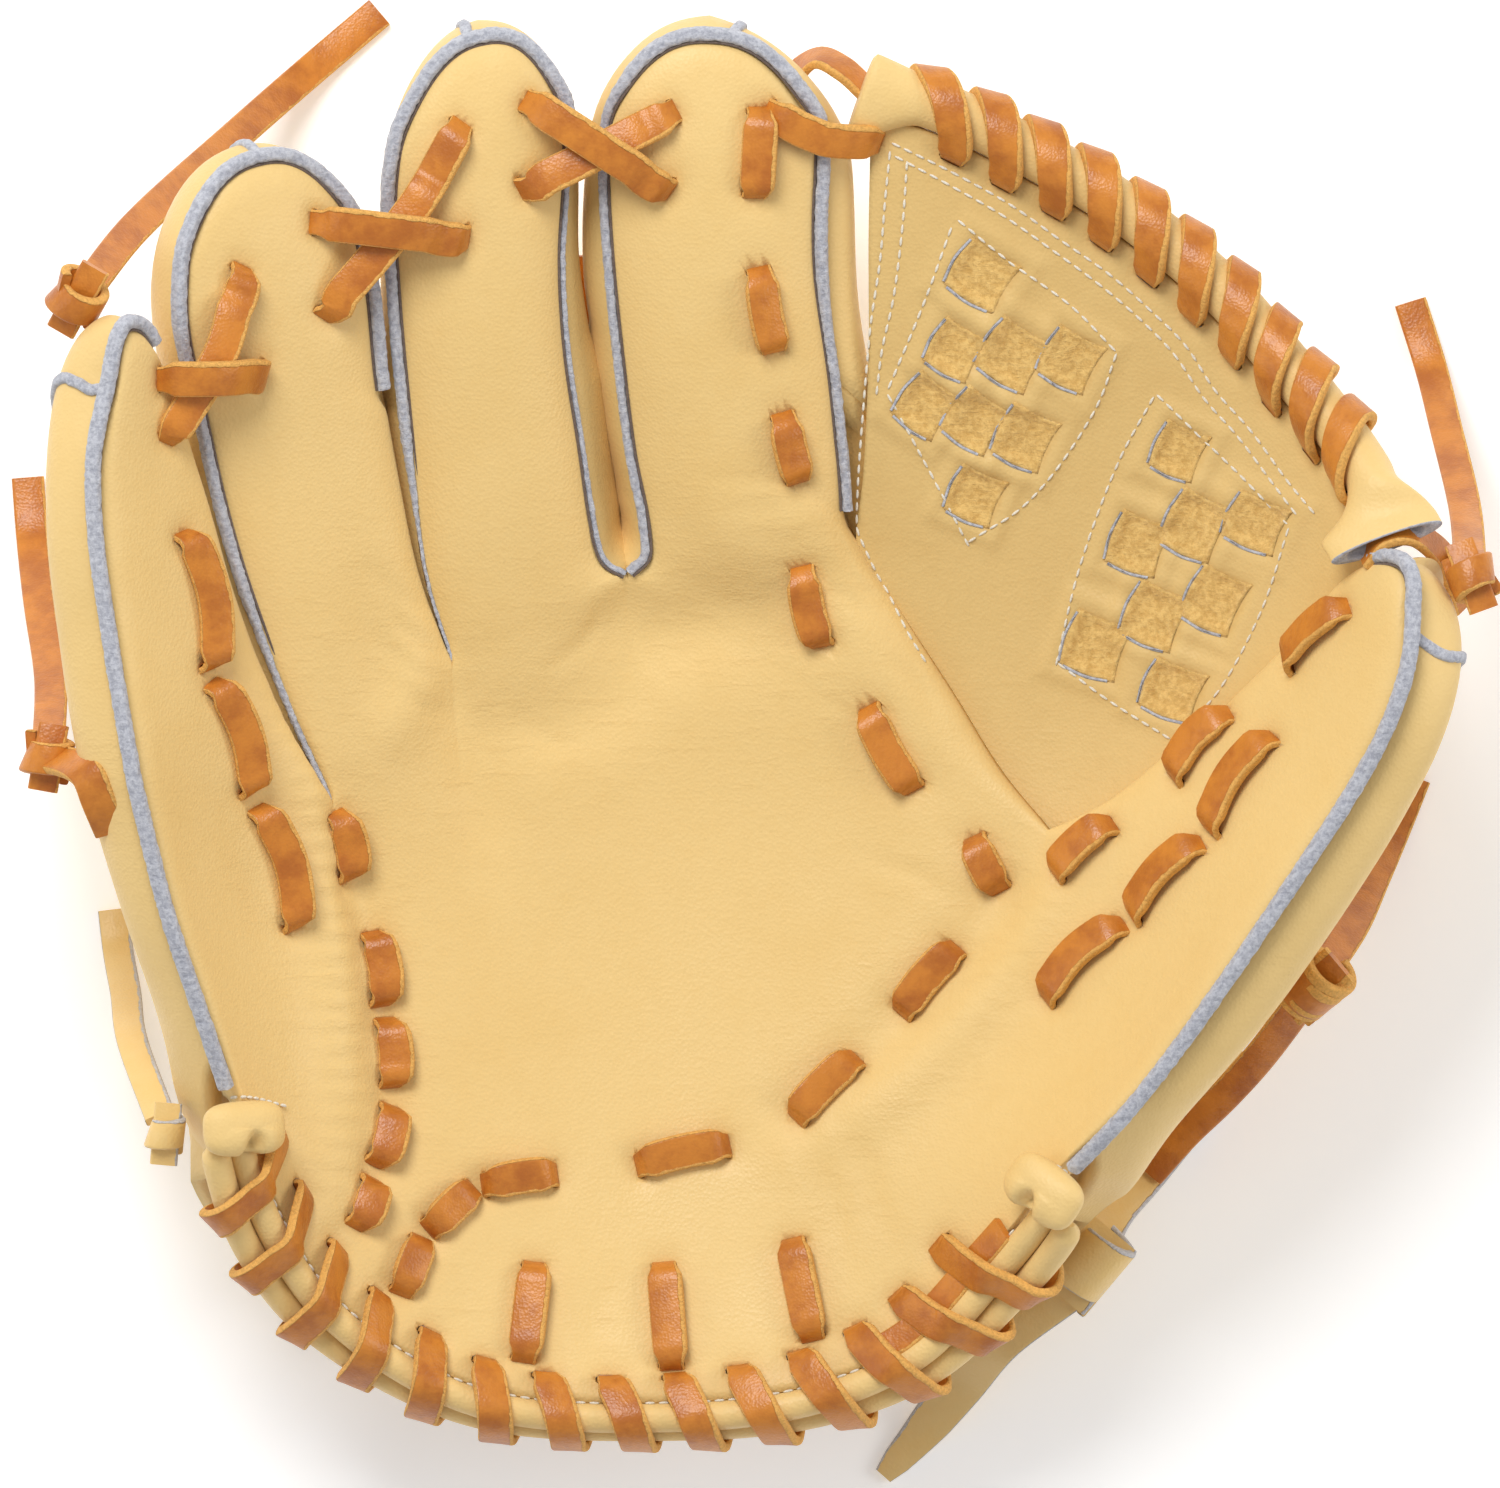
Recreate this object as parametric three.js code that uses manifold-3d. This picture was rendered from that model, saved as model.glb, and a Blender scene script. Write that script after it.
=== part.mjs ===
// Softball outfielder glove, lying on its back with the pocket up.
// Millimetres. +X points to the thumb, +Y to the fingertips, +Z out of the pocket.
// The front leather is one piece: five strips side by side, which run together in the palm and part at
// the crotches. A back leather behind each strip bulges down from the same seams, so that the stalls,
// the hand space and the wrist opening are hollow.
import * as THREE from "three";
import { mergeVertices } from "three/addons/utils/BufferGeometryUtils.js";
import Module from "manifold-3d";

const wasm = await Module();
wasm.setup();

// Driving dimensions

const CENTRE = { x: -1, y: -0.45 }; // the middle of the glove in the coordinates of the tables below
const FRONT_LEATHER = 3; // palm leather with the thin pad behind it
const BACK_LEATHER = 2.5;
const WEB_LEATHER = 3;
const CLEARANCE = 0.3; // between pieces that touch
const BACK_MARGIN = 1.1; // from the line between two strips to the edge of each back leather
const SEAM_DEPTH = 4; // from the front face down to the edge of a back leather
const TUCKED_SEAM_DEPTH = 9.5; // the same where the web is held between front and back
const WEB_DEPTH = 3.6; // from the front face down to the face of the web
const WELT = { width: 2.8, thickness: 2.8, proud: 0.4 };
const LACE = { width: 6.2, thickness: 1.7, lift: 0.9 };
const HOLE_CLEARANCE = 1.5; // of a lace hole over the lace
const ROLL_RADIUS = 2.9; // each of the two rolls of the heel binding
const BAR_RADIUS = 5.2; // rolled top of the web
const WALL_ROUNDNESS = 0.5; // share of the pocket's rise that is an even curve; the rest turns up late

// The pocket, a section across the glove in each row. Each section has its lowest point and the height
// of the outer seam on each side.
const SECTIONS = [
  { y: -145, leftX: -100, leftZ: 68, lowX: -20, lowZ: 47, rightX: 68, rightZ: 72 },
  { y: -120, leftX: -104, leftZ: 72, lowX: -20, lowZ: 41, rightX: 70, rightZ: 76 },
  { y: -90, leftX: -107, leftZ: 78, lowX: -18, lowZ: 36, rightX: 70, rightZ: 80 },
  { y: -60, leftX: -114, leftZ: 87, lowX: -15, lowZ: 33, rightX: 90, rightZ: 86 },
  { y: -30, leftX: -123, leftZ: 97, lowX: -10, lowZ: 32, rightX: 110, rightZ: 93 },
  { y: 0, leftX: -130, leftZ: 105, lowX: 0, lowZ: 34, rightX: 128, rightZ: 98 },
  { y: 30, leftX: -136, leftZ: 110, lowX: 5, lowZ: 40, rightX: 137, rightZ: 101 },
  { y: 60, leftX: -137, leftZ: 111, lowX: 5, lowZ: 49, rightX: 138, rightZ: 102 },
  { y: 90, leftX: -132, leftZ: 112, lowX: 5, lowZ: 60, rightX: 138, rightZ: 103 },
  { y: 120, leftX: -128, leftZ: 113, lowX: 5, lowZ: 70, rightX: 138, rightZ: 104 },
  { y: 150, leftX: -126, leftZ: 114, lowX: 5, lowZ: 78, rightX: 138, rightZ: 104 },
];

// The lower edge of the palm leather, from the little finger's side to the thumb's.
const HEEL = [
  [-107, -73],
  [-96, -97],
  [-82.5, -114.5],
  [-55, -130.5],
  [-15, -133],
  [12, -129.5],
  [31, -121],
  [47, -105],
  [65, -89],
];

// The lines along which two strips meet, from the heel to the crotch between them, and the depth of the
// hand space there. The outer two are the glove's edges.
const PALM_LINES = {
  pinkyEdge: { plan: [[-107, -73], [-114, -54], [-121, -35], [-128, -8]], heel: 12, crotch: 20 },
  pinkyRing: { plan: [[-82.5, -114.5], [-82, -80], [-83, -45], [-87, -12]], heel: 38, crotch: 31 },
  ringMiddle: { plan: [[-55, -130.5], [-56, -85], [-58, -35], [-62, 17]], heel: 43, crotch: 37 },
  middleIndex: { plan: [[-15, -133], [-16, -80], [-20, -20], [-25, 36]], heel: 45, crotch: 41 },
  indexThumb: { plan: [[31, -121], [42, -90], [53, -52], [62, -18]], heel: 42, crotch: 38 },
  thumbEdge: { plan: [[65, -89], [77, -76], [88, -62], [100, -45]], heel: 11, crotch: 20 },
};

// The fingers. Each side runs from the crotch to the start of the rounded tip. The columns that follow
// are the stall's depth at the tip on each side, how far its back bulges out past each seam at the tip,
// how far the tip rises past its corners, the swell of the front, and the part of the heel below it.
const FINGERS = {
  pinky: {
    lines: ["pinkyEdge", "pinkyRing"],
    left: [[-128, -8], [-133, 18], [-137, 44], [-137, 60], [-133, 76]],
    right: [[-87, -12], [-96, 4], [-106, 30], [-111, 47], [-115.5, 61], [-119, 74]],
    depth: [18, 22], bulge: [6, 0], rise: 12, swell: 2.5, heel: [0, 2],
  },
  ring: {
    lines: ["pinkyRing", "ringMiddle"],
    left: [[-87, -12], [-95, 6], [-104, 30], [-109, 47], [-113, 65], [-117, 86], [-117, 100]],
    right: [[-62, 17], [-68.5, 35], [-72.5, 54], [-76, 75], [-78, 95], [-81, 109]],
    depth: [22, 24], bulge: [3, 0.5], rise: 17, swell: 4, heel: [2, 3],
  },
  middle: {
    lines: ["ringMiddle", "middleIndex"],
    left: [[-62, 17], [-67, 33], [-70, 52], [-72, 68], [-74, 90], [-75, 110], [-74, 124]],
    right: [[-25, 36], [-31, 46], [-34, 62], [-37, 82], [-38, 100], [-37, 118], [-37, 131]],
    depth: [24, 25], bulge: [3, 1], rise: 19, swell: 4.5, heel: [3, 4],
  },
  index: {
    lines: ["middleIndex", "indexThumb"],
    left: [[-25, 36], [-23.5, 45], [-25.5, 60], [-28, 80], [-30, 100], [-31, 118], [-31, 129]],
    right: [
      [62, -18], [52, -6], [42, 10], [31, 27], [22, 42],
      [20, 58], [18, 76], [15, 98], [15, 115], [16, 127],
    ],
    depth: [25, 25], bulge: [1, 5.5], rise: 19, swell: 5, heel: [4, 6],
  },
  thumb: {
    lines: ["indexThumb", "thumbEdge"],
    left: [[62, -18], [75, -11], [87, -1], [100, 10], [112, 22], [122, 34]],
    right: [[100, -45], [112, -27], [123, -10], [131, 5], [135, 18], [136, 31]],
    depth: [22, 18], bulge: [0, 6], rise: 7, swell: 3, heel: [6, 8],
  },
};

// Where the welts start on the left and right side of each strip, as rows. At 1 that side has none.
const WELT_STARTS = {
  pinky: [-0.93, 1],
  ring: [0.06, 0.62],
  middle: [0.06, 0.14],
  index: [0.14, 0.5],
  thumb: [1, -0.93],
};

// The web's panel. Its sides are tucked under the palm and thumb, and its top carries the bar.
const WEB = {
  left: [[57, -23], [46, -9], [36, 6], [26, 23], [22, 38], [23.5, 56], [24.5, 80], [24.5, 105], [25, 130]],
  right: [[60, -23], [79, -15], [92, -5], [104, 6], [117, 18], [128, 36]],
  top: [
    [25, 130], [39, 125], [55, 116.5], [70, 107.5], [84, 96.5],
    [94, 87], [103, 76], [112, 65], [120, 54], [128, 40],
  ],
  sag: 4,
  upRows: [0, 0.14, 0.3, 0.46, 0.62, 0.78, 0.9, 1],
  acrossRows: [0, 0.14, 0.32, 0.5, 0.68, 0.86, 1],
};

const END_CAP = { width: 16, length: 11, height: 4, pinky: [-105, -79], thumb: [62, -92] };
const STRAP_ROWS = [-0.94, -0.88, -0.81, -0.74];
const STRAP_INSET = -0.6; // of the strap's ends, which lie close to the backs beside them
const OPEN_BACK_TOP = -0.5; // the row where the middle backs end above the open back
const OUTSIDE = 60; // farther out from the middle of a stall than its back reaches
const SHORT_RUN = 9; // hidden runs of a lace up to this length are straight
const CUT_TOLERANCE = 0.06; // flat faces left in pieces by the holes are joined again within this
const WRAP_LIFT = 2.1; // of the wound laces over the bars inside them
const ROLL_ENDS = [0.065, 0.94]; // shares of the heel's length
// The wound laces. Each turn goes round its bar and along it, and its shares say how much of the way
// along is behind it at each point of the loop. Most of it is made where the lace shows.
const HEEL_WRAPS = { from: 0.1, to: 0.93, turns: 14, hole: 5.5, shares: [0.3, 0.5, 0.72, 0.8, 0.86, 0.93] };
const BAR_WRAPS = {
  from: 0.055,
  to: 0.9,
  turns: 10,
  hole: 4,
  shares: [0.03, 0.06, 0.12, 0.45, 0.8],
  backFirst: true,
};

// Laces that are stitched through the front, as places seen from above. Each stitch goes over the
// leather from its first place to its last.
const LACES = {
  palm_lace: {
    stitches: [
      [[2, 98], [5, 82]], [[7, 68], [10, 55]], [[11, 36], [15, 21]], [[25, 7], [34, -9]],
      [[47, -20], [52, -30]], [[43, -43], [32, -56]], [[22, -66], [10, -78]], [[-5, -84], [-23, -88]],
      [[-41, -90], [-55, -92]], [[-59, -94], [-67, -103]], [[-69, -106], [-71, -111]],
    ],
  },
  pinky_side_lace: {
    stitches: [
      [[-86, -15], [-84, -28]], [[-79, -40], [-77, -54]], [[-76, -58], [-75, -71]],
      [[-75, -76], [-78, -87]], [[-79, -91], [-82, -100]],
    ],
  },
  pinky_loop_lace: {
    stitches: [[[-117, 43], [-112, 16]], [[-111, 12], [-104, -10]], [[-102, -14], [-95, -38]]],
  },
  thumb_loop_lace: {
    stitches: [[[108, 1], [96, -18]], [[93, -21], [80, -36]], [[77, -38], [62, -53]]],
  },
  thumb_web_lace_1: { stitches: [[[123, 28], [111.5, 16.5]]] },
  thumb_web_lace_2: { stitches: [[[99, 6], [88.5, -7]]] },
  thumb_web_lace_3: { stitches: [[[75, -17], [64, -27]]] },
  heel_upright_lace_1: { stitches: [[[-45, -109], [-46.5, -120]]] },
  heel_upright_lace_2: { stitches: [[[-18, -109], [-17, -121.5]]] },
  heel_upright_lace_3: { stitches: [[[9, -104], [11.5, -115.5]]] },
  index_web_lace: { stitches: [[[2, 131], [1, 114]]] },
  index_bar_lace: { stitches: [[[6.5, 127], [14, 125], [27, 124]]], arch: 1.8 },
  pinky_ring_lace_under: { stitches: [[[-105, 98], [-109, 82], [-120, 63]]] },
  pinky_ring_lace_over: { stitches: [[[-125.5, 75], [-101, 77]]], arch: 4.4 },
  ring_middle_lace_under: { stitches: [[[-90, 108], [-59, 105]]] },
  ring_middle_lace_over: { stitches: [[[-60, 128], [-69, 112], [-88, 89]]], arch: 4 },
  middle_index_lace_under: { stitches: [[[-16, 131], [-31, 123], [-47, 115]]] },
  middle_index_lace_over: { stitches: [[[-46, 133], [-17, 115]]], arch: 4.6 },
};

// Knots and free ends of the laces, which come out of the backs and slope down to the ground. A knot
// lies against the back leather of a strip, at a place across it and along it.
const KNOTS = {
  pinky_tip_knot: { strip: "pinky", across: 0.5, row: 0.94, size: [13, 16, 11], material: "lace" },
  pinky_side_knot: { strip: "pinky", across: 0.18, row: 0.09, size: [11, 12, 10], material: "lace" },
  thumb_tip_knot: { strip: "thumb", across: 0.7, row: 0.95, size: [11, 15, 10], material: "lace" },
  thumb_side_knot: { strip: "thumb", across: 0.84, row: 0.03, size: [14, 17, 10], material: "lace" },
  left_tie_knot: { strip: "pinky", across: 0.24, row: -0.9, size: [10, 13, 8], material: "webLeather" },
  right_tie_knot: { strip: "thumb", across: 0.52, row: -0.99, size: [17, 15, 9], material: "webLeather" },
};
const TAILS = {
  pinky_tip_tail: {
    knot: "pinky_tip_knot",
    width: 6.2,
    route: [[-128, 107, 66], [-107, 128, 24], [-92, 142, 4], [-78, 154, 1]],
  },
  pinky_side_tail: {
    knot: "pinky_side_knot",
    width: 6.2,
    route: [[-146, 14, 44], [-149, 30, 20], [-151, 44, 4], [-152, 56, 1]],
  },
  thumb_tip_tail: {
    knot: "thumb_tip_knot",
    width: 6.2,
    route: [[149, 50, 46], [146, 66, 20], [143, 80, 4], [139, 93, 1]],
  },
  thumb_side_tail_1: {
    knot: "thumb_side_knot",
    width: 6.2,
    route: [[126, -38, 38], [131, -28, 17], [136, -17, 3], [140, -7, 1]],
  },
  thumb_side_tail_2: {
    knot: "thumb_side_knot",
    width: 6.2,
    route: [[106, -66, 36], [99, -74, 25], [91, -82, 15], [84, -90, 8.8]],
  },
  left_tie_tail: {
    knot: "left_tie_knot",
    width: 6.5,
    route: [[-129, -62, 40], [-131, -52, 18], [-133, -43, 4], [-134, -35, 1]],
  },
  right_tie_tail_1: {
    knot: "right_tie_knot",
    width: 9,
    route: [[52, -124, 22], [44, -135, 9], [36, -145, 2], [28, -154, 1]],
  },
  right_tie_tail_2: {
    knot: "right_tie_knot",
    width: 6.5,
    route: [[76, -99, 17], [84, -90, 6], [93, -79, 1.5], [104, -65, 1]],
  },
};

// Rows along a strip: -1 is the heel, 0 the crotch and 1 the start of the tip.
const PALM_ROWS = [-1, -0.86, -0.68, -0.5, -0.33, -0.16, 0];
const FINGER_ROWS = [0.04, 0.14, 0.32, 0.5, 0.68, 0.84, 0.95, 1];
const FRONT_ACROSS = [0, 0.12, 0.36, 0.64, 0.88, 1];
const BACK_ACROSS = [0, 0.03, 0.14, 0.36, 0.64, 0.86, 0.97, 1];
const BACK_TIP_ROWS = [0.14, 0.4, 0.68, 0.86, 0.95, 1];

// Small helpers

// Whether a side of a strip is an outer edge of the glove all the way down.
function isOuter(strip, side) {
  return side === 0 ? strip.name === "pinky" : strip.name === "thumb";
}

const clamp = THREE.MathUtils.clamp;
const mix = THREE.MathUtils.lerp;
const smoothstep = THREE.MathUtils.smoothstep;
const UP = new THREE.Vector3(0, 0, 1);

function planCurve(points) {
  const places = points.map(([x, y]) => new THREE.Vector3(x, y, 0));
  return new THREE.CatmullRomCurve3(places, false, "centripetal");
}

// The value of a table's column at a place between its rows, on a smooth curve through them.
function between(rows, column, y) {
  let i = 0;
  while (i < rows.length - 2 && y > rows[i + 1].y) i += 1;
  const slope = (j) => {
    const before = rows[Math.max(j - 1, 0)];
    const after = rows[Math.min(j + 1, rows.length - 1)];
    return (after[column] - before[column]) / (after.y - before.y);
  };
  const step = rows[i + 1].y - rows[i].y;
  const u = clamp((y - rows[i].y) / step, 0, 1);
  const ease = u * u * (3 - 2 * u);
  const bend = u * (1 - u) * step * ((1 - u) * slope(i) - u * slope(i + 1));
  return mix(rows[i][column], rows[i + 1][column], ease) + bend;
}

// Shape of the pocket

function pocketHeight(x, y) {
  const lowX = between(SECTIONS, "lowX", y);
  const lowZ = between(SECTIONS, "lowZ", y);
  const side = x < lowX ? "left" : "right";
  const edgeX = between(SECTIONS, side + "X", y);
  const edgeZ = between(SECTIONS, side + "Z", y);
  const u = (x - lowX) / (edgeX - lowX);
  return lowZ + (edgeZ - lowZ) * (WALL_ROUNDNESS * u ** 2 + (1 - WALL_ROUNDNESS) * u ** 6);
}

function pocketNormal(x, y) {
  const step = 0.5;
  const slopeX = (pocketHeight(x + step, y) - pocketHeight(x - step, y)) / (2 * step);
  const slopeY = (pocketHeight(x, y + step) - pocketHeight(x, y - step)) / (2 * step);
  return new THREE.Vector3(-slopeX, -slopeY, 1).normalize();
}

// Strips

const heelCurve = planCurve(HEEL);
const palmCurves = Object.fromEntries(
  Object.entries(PALM_LINES).map(([name, line]) => [name, planCurve(line.plan)]),
);
const strips = Object.entries(FINGERS).map(([name, finger]) => ({
  name,
  ...finger,
  palm: finger.lines.map((line) => palmCurves[line]),
  sides: [planCurve(finger.left), planCurve(finger.right)],
}));

// A place on a strip's side, moved in from its line by an inset.
function sidePoint(strip, side, row, inset = 0) {
  const [curve, at] = row < 0 ? [strip.palm[side], row + 1] : [strip.sides[side], clamp(row, 0, 1)];
  const along = curve.getTangentAt(at);
  const inward = new THREE.Vector3(along.y, -along.x, 0).multiplyScalar(side === 0 ? 1 : -1);
  return curve.getPointAt(at).addScaledVector(inward, inset);
}

// A place on a strip, seen from above: across is 0 at its left side and 1 at its right.
function planPoint(strip, across, row, insets = [0, 0]) {
  const point = sidePoint(strip, 0, row, insets[0]).lerp(sidePoint(strip, 1, row, insets[1]), across);
  if (row < 0) {
    const straight = sidePoint(strip, 0, -1).lerp(sidePoint(strip, 1, -1), across);
    const onHeel = heelCurve.getPoint(mix(...strip.heel, across) / (HEEL.length - 1));
    return point.addScaledVector(onHeel.sub(straight), (-row) ** 3);
  }
  const base = sidePoint(strip, 0, 0.7).lerp(sidePoint(strip, 1, 0.7), 0.5);
  const end = sidePoint(strip, 0, 1).lerp(sidePoint(strip, 1, 1), 0.5);
  const arc = 1 - Math.abs(2 * across - 1) ** 2.4;
  return point.addScaledVector(end.sub(base).normalize(), strip.rise * arc * smoothstep(row, 0.2, 0.95));
}

// A place on the pocket's own surface, without the swell of the fingers.
function pocketPoint(strip, across, row, insets) {
  const point = planPoint(strip, across, row, insets);
  point.z = pocketHeight(point.x, point.y);
  return { point, normal: pocketNormal(point.x, point.y) };
}

function swell(strip, across, row) {
  const fade = smoothstep(row, -0.3, 0.35) * (1 - clamp(row, 0, 1) ** 6);
  return strip.swell * fade * (1 - Math.abs(2 * across - 1) ** 2.6);
}

// Closed bodies

// Joins grids of paired points, a face and the point behind it, into one closed wall. Grids that share
// points along an edge are joined there, and every open edge is closed.
function wallGeometry(grids) {
  const pairs = [];
  const known = new Map();
  const cells = [];
  const numberOf = (pair) => {
    const key = pair.face.toArray().map((v) => Math.round(v * 100)).join();
    if (!known.has(key)) known.set(key, pairs.push(pair) - 1);
    return known.get(key);
  };
  for (const grid of grids) {
    const numbers = grid.map((row) => row.map(numberOf));
    for (let i = 0; i < numbers.length - 1; i += 1) {
      for (let j = 0; j < numbers[i].length - 1; j += 1) {
        const [a, b] = [numbers[i][j], numbers[i][j + 1]];
        const [d, c] = [numbers[i + 1][j], numbers[i + 1][j + 1]];
        cells.push([a, b, c], [a, c, d]);
      }
    }
  }
  const faces = cells.filter(([a, b, c]) => a !== b && b !== c && c !== a);
  const edges = new Set(faces.flatMap(([a, b, c]) => [`${a},${b}`, `${b},${c}`, `${c},${a}`]));
  const triangles = [];
  for (const [a, b, c] of faces) {
    triangles.push([pairs[a].face, pairs[b].face, pairs[c].face]);
    triangles.push([pairs[c].back, pairs[b].back, pairs[a].back]);
    for (const [from, to] of [[a, b], [b, c], [c, a]]) {
      if (edges.has(`${to},${from}`)) continue;
      triangles.push([pairs[from].face, pairs[from].back, pairs[to].back]);
      triangles.push([pairs[from].face, pairs[to].back, pairs[to].face]);
    }
  }
  return closedGeometry(triangles);
}

// A geometry of triangles that close on themselves, turned so that they face out.
function closedGeometry(triangles) {
  const volume = triangles.reduce((sum, [a, b, c]) => sum + a.dot(b.clone().cross(c)), 0);
  const turned = volume < 0 ? triangles.map(([a, b, c]) => [a, c, b]) : triangles;
  const positions = turned.flat().flatMap((p) => [p.x, p.y, p.z]);
  const geometry = new THREE.BufferGeometry();
  geometry.setAttribute("position", new THREE.Float32BufferAttribute(positions, 3));
  return mergeVertices(geometry, 1e-4);
}

// A closed strap of flat section along points. Each point has the direction that the width takes there.
function strapGeometry(path, width, thickness) {
  const rings = path.map(({ point, side }, i) => {
    const before = path[Math.max(i - 1, 0)].point;
    const after = path[Math.min(i + 1, path.length - 1)].point;
    const intoPoint = point.clone().sub(before).normalize();
    const outOfPoint = after.clone().sub(point).normalize();
    const along = intoPoint.clone().add(outOfPoint).normalize();
    const across = side.clone().addScaledVector(along, -side.dot(along)).normalize();
    const turn = Math.max(along.dot(i ? intoPoint : outOfPoint), 0.7);
    const up = along.clone().cross(across).multiplyScalar(thickness / 2 / turn);
    across.multiplyScalar(width / 2);
    return [[-1, -1], [1, -1], [1, 1], [-1, 1]].map(([a, b]) =>
      point.clone().addScaledVector(across, a).addScaledVector(up, b),
    );
  });
  const triangles = [];
  for (let i = 0; i < rings.length - 1; i += 1) {
    for (let j = 0; j < 4; j += 1) {
      const k = (j + 1) % 4;
      triangles.push([rings[i][j], rings[i][k], rings[i + 1][k]]);
      triangles.push([rings[i][j], rings[i + 1][k], rings[i + 1][j]]);
    }
  }
  const [first, last] = [rings[0], rings[rings.length - 1]];
  triangles.push([first[0], first[2], first[1]], [first[0], first[3], first[2]]);
  triangles.push([last[0], last[1], last[2]], [last[0], last[2], last[3]]);
  return closedGeometry(triangles);
}

// A round bar along a curve, as a row of rings whose radius may change.
function roundGeometry(curve, radiusAt, steps, sides) {
  const rings = [];
  for (let i = 0; i <= steps; i += 1) {
    const along = curve.getTangentAt(i / steps);
    const across = along.clone().cross(UP).normalize();
    const up = across.clone().cross(along);
    const centre = curve.getPointAt(i / steps);
    const radius = radiusAt(i / steps);
    rings.push(
      Array.from({ length: sides }, (_, j) => {
        const angle = (2 * Math.PI * j) / sides;
        return centre
          .clone()
          .addScaledVector(across, radius * Math.cos(angle))
          .addScaledVector(up, radius * Math.sin(angle));
      }),
    );
  }
  const triangles = [];
  for (let i = 0; i < steps; i += 1) {
    for (let j = 0; j < sides; j += 1) {
      const k = (j + 1) % sides;
      triangles.push([rings[i][j], rings[i][k], rings[i + 1][k]]);
      triangles.push([rings[i][j], rings[i + 1][k], rings[i + 1][j]]);
    }
  }
  for (let j = 1; j < sides - 1; j += 1) {
    triangles.push([rings[0][0], rings[0][j + 1], rings[0][j]]);
    triangles.push([rings[steps][0], rings[steps][j], rings[steps][j + 1]]);
  }
  return closedGeometry(triangles);
}

function toSolid(geometry) {
  const bare = geometry.clone();
  bare.deleteAttribute("normal");
  bare.deleteAttribute("uv");
  const merged = mergeVertices(bare, 1e-4);
  return new wasm.Manifold(
    new wasm.Mesh({
      numProp: 3,
      vertProperties: new Float32Array(merged.attributes.position.array),
      triVerts: new Uint32Array(merged.index.array),
    }),
  );
}

function toGeometry(solid) {
  const mesh = solid.getMesh();
  const geometry = new THREE.BufferGeometry();
  geometry.setAttribute("position", new THREE.Float32BufferAttribute(mesh.vertProperties, mesh.numProp));
  return geometry.setIndex(new THREE.BufferAttribute(mesh.triVerts, 1));
}

function cutGeometry(geometry, cutters) {
  const cut = cutters.reduce((solid, cutter) => solid.subtract(toSolid(cutter)), toSolid(geometry));
  return toGeometry(cut.simplify(CUT_TOLERANCE));
}

// Front leather

// Where a welt runs along a side, the leather stops short of the seam by this much at a row.
function seamInset(strip, side, row) {
  const welted = row >= WELT_STARTS[strip.name][side] - 0.02 || isOuter(strip, side);
  const inset = WELT.width / 2 + CLEARANCE;
  if (isOuter(strip, side)) return inset;
  const besideIndex = strip.name === "index" && side === 1 && !welted;
  const besideWeb = besideIndex || (strip.name === "thumb" && side === 0);
  return besideWeb ? 0 : inset * smoothstep(row, 0, 0.04);
}

function frontGrid(strip) {
  const length = strip.sides[0].getLength();
  const reach = 1 - (WELT.width / 2 + CLEARANCE) / length;
  return [...PALM_ROWS, ...FINGER_ROWS].map((row) => {
    const at = row > 0 ? row * reach : row;
    const insets = [seamInset(strip, 0, row), seamInset(strip, 1, row)];
    return FRONT_ACROSS.map((across) => {
      const { point, normal } = pocketPoint(strip, across, at, insets);
      const face = point.clone().addScaledVector(normal, swell(strip, across, at));
      return { face, back: face.clone().addScaledVector(normal, -FRONT_LEATHER) };
    });
  });
}

// Back leathers

// Depth of the stall or hand space below the pocket's surface, before it narrows at the seams.
function roomDepth(strip, across, row) {
  const ends = strip.lines.map((line, side) =>
    row < 0
      ? mix(PALM_LINES[line].heel, PALM_LINES[line].crotch, row + 1)
      : mix(PALM_LINES[line].crotch, strip.depth[side], smoothstep(row, 0, 0.8)),
  );
  return mix(...ends, across);
}

// One at the seams and nothing where two strips share the hand space.
function seamed(strip, side, row) {
  return isOuter(strip, side) || row >= 0 ? 1 : 0;
}

function seamDepth(strip, side, row) {
  const tuckedIndex = strip.name === "index" && side === 1 && row < 0.66;
  const tucked = tuckedIndex || (strip.name === "thumb" && side === 0);
  return tucked ? TUCKED_SEAM_DEPTH : SEAM_DEPTH;
}

// A place on the outer face of a back leather, or on a face that much inside it.
function backPoint(strip, across, row, inside = 0) {
  const insets = [0, 1].map((side) => BACK_MARGIN + inside * seamed(strip, side, row));
  const short = row > 0 ? row * (1 - inside / strip.sides[0].getLength()) : row;
  const { point, normal } = pocketPoint(strip, across, short, insets);
  const side = across < 0.5 ? 0 : 1;
  const fromEdge = Math.abs(2 * across - 1);
  const round = (1 - fromEdge ** 3) ** 0.45;
  const atTip = (1 - clamp((row - 0.6) / 0.4, 0, 1) ** 3) ** 0.45;
  const full = mix(1, round, seamed(strip, side, row)) * atTip;
  const rim = seamDepth(strip, side, row);
  const depth = rim + (roomDepth(strip, across, row) - inside - rim) * full;
  const outward = planPoint(strip, side, row).sub(planPoint(strip, 0.5, row)).normalize();
  const grown = isOuter(strip, side) ? smoothstep(row, -1, -0.5) : smoothstep(row, 0.1, 0.8);
  const growth = grown * 4 * full * (1 - full) * fromEdge;
  point.addScaledVector(normal, -depth);
  point.addScaledVector(outward, strip.bulge[side] * growth);
  point.z = Math.max(point.z, inside);
  return point;
}

function backGeometry(strip, rows) {
  const grid = rows.map((row) =>
    BACK_ACROSS.map((across) => ({
      face: backPoint(strip, across, row),
      back: backPoint(strip, across, row, BACK_LEATHER),
    })),
  );
  return wallGeometry([grid]);
}

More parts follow.
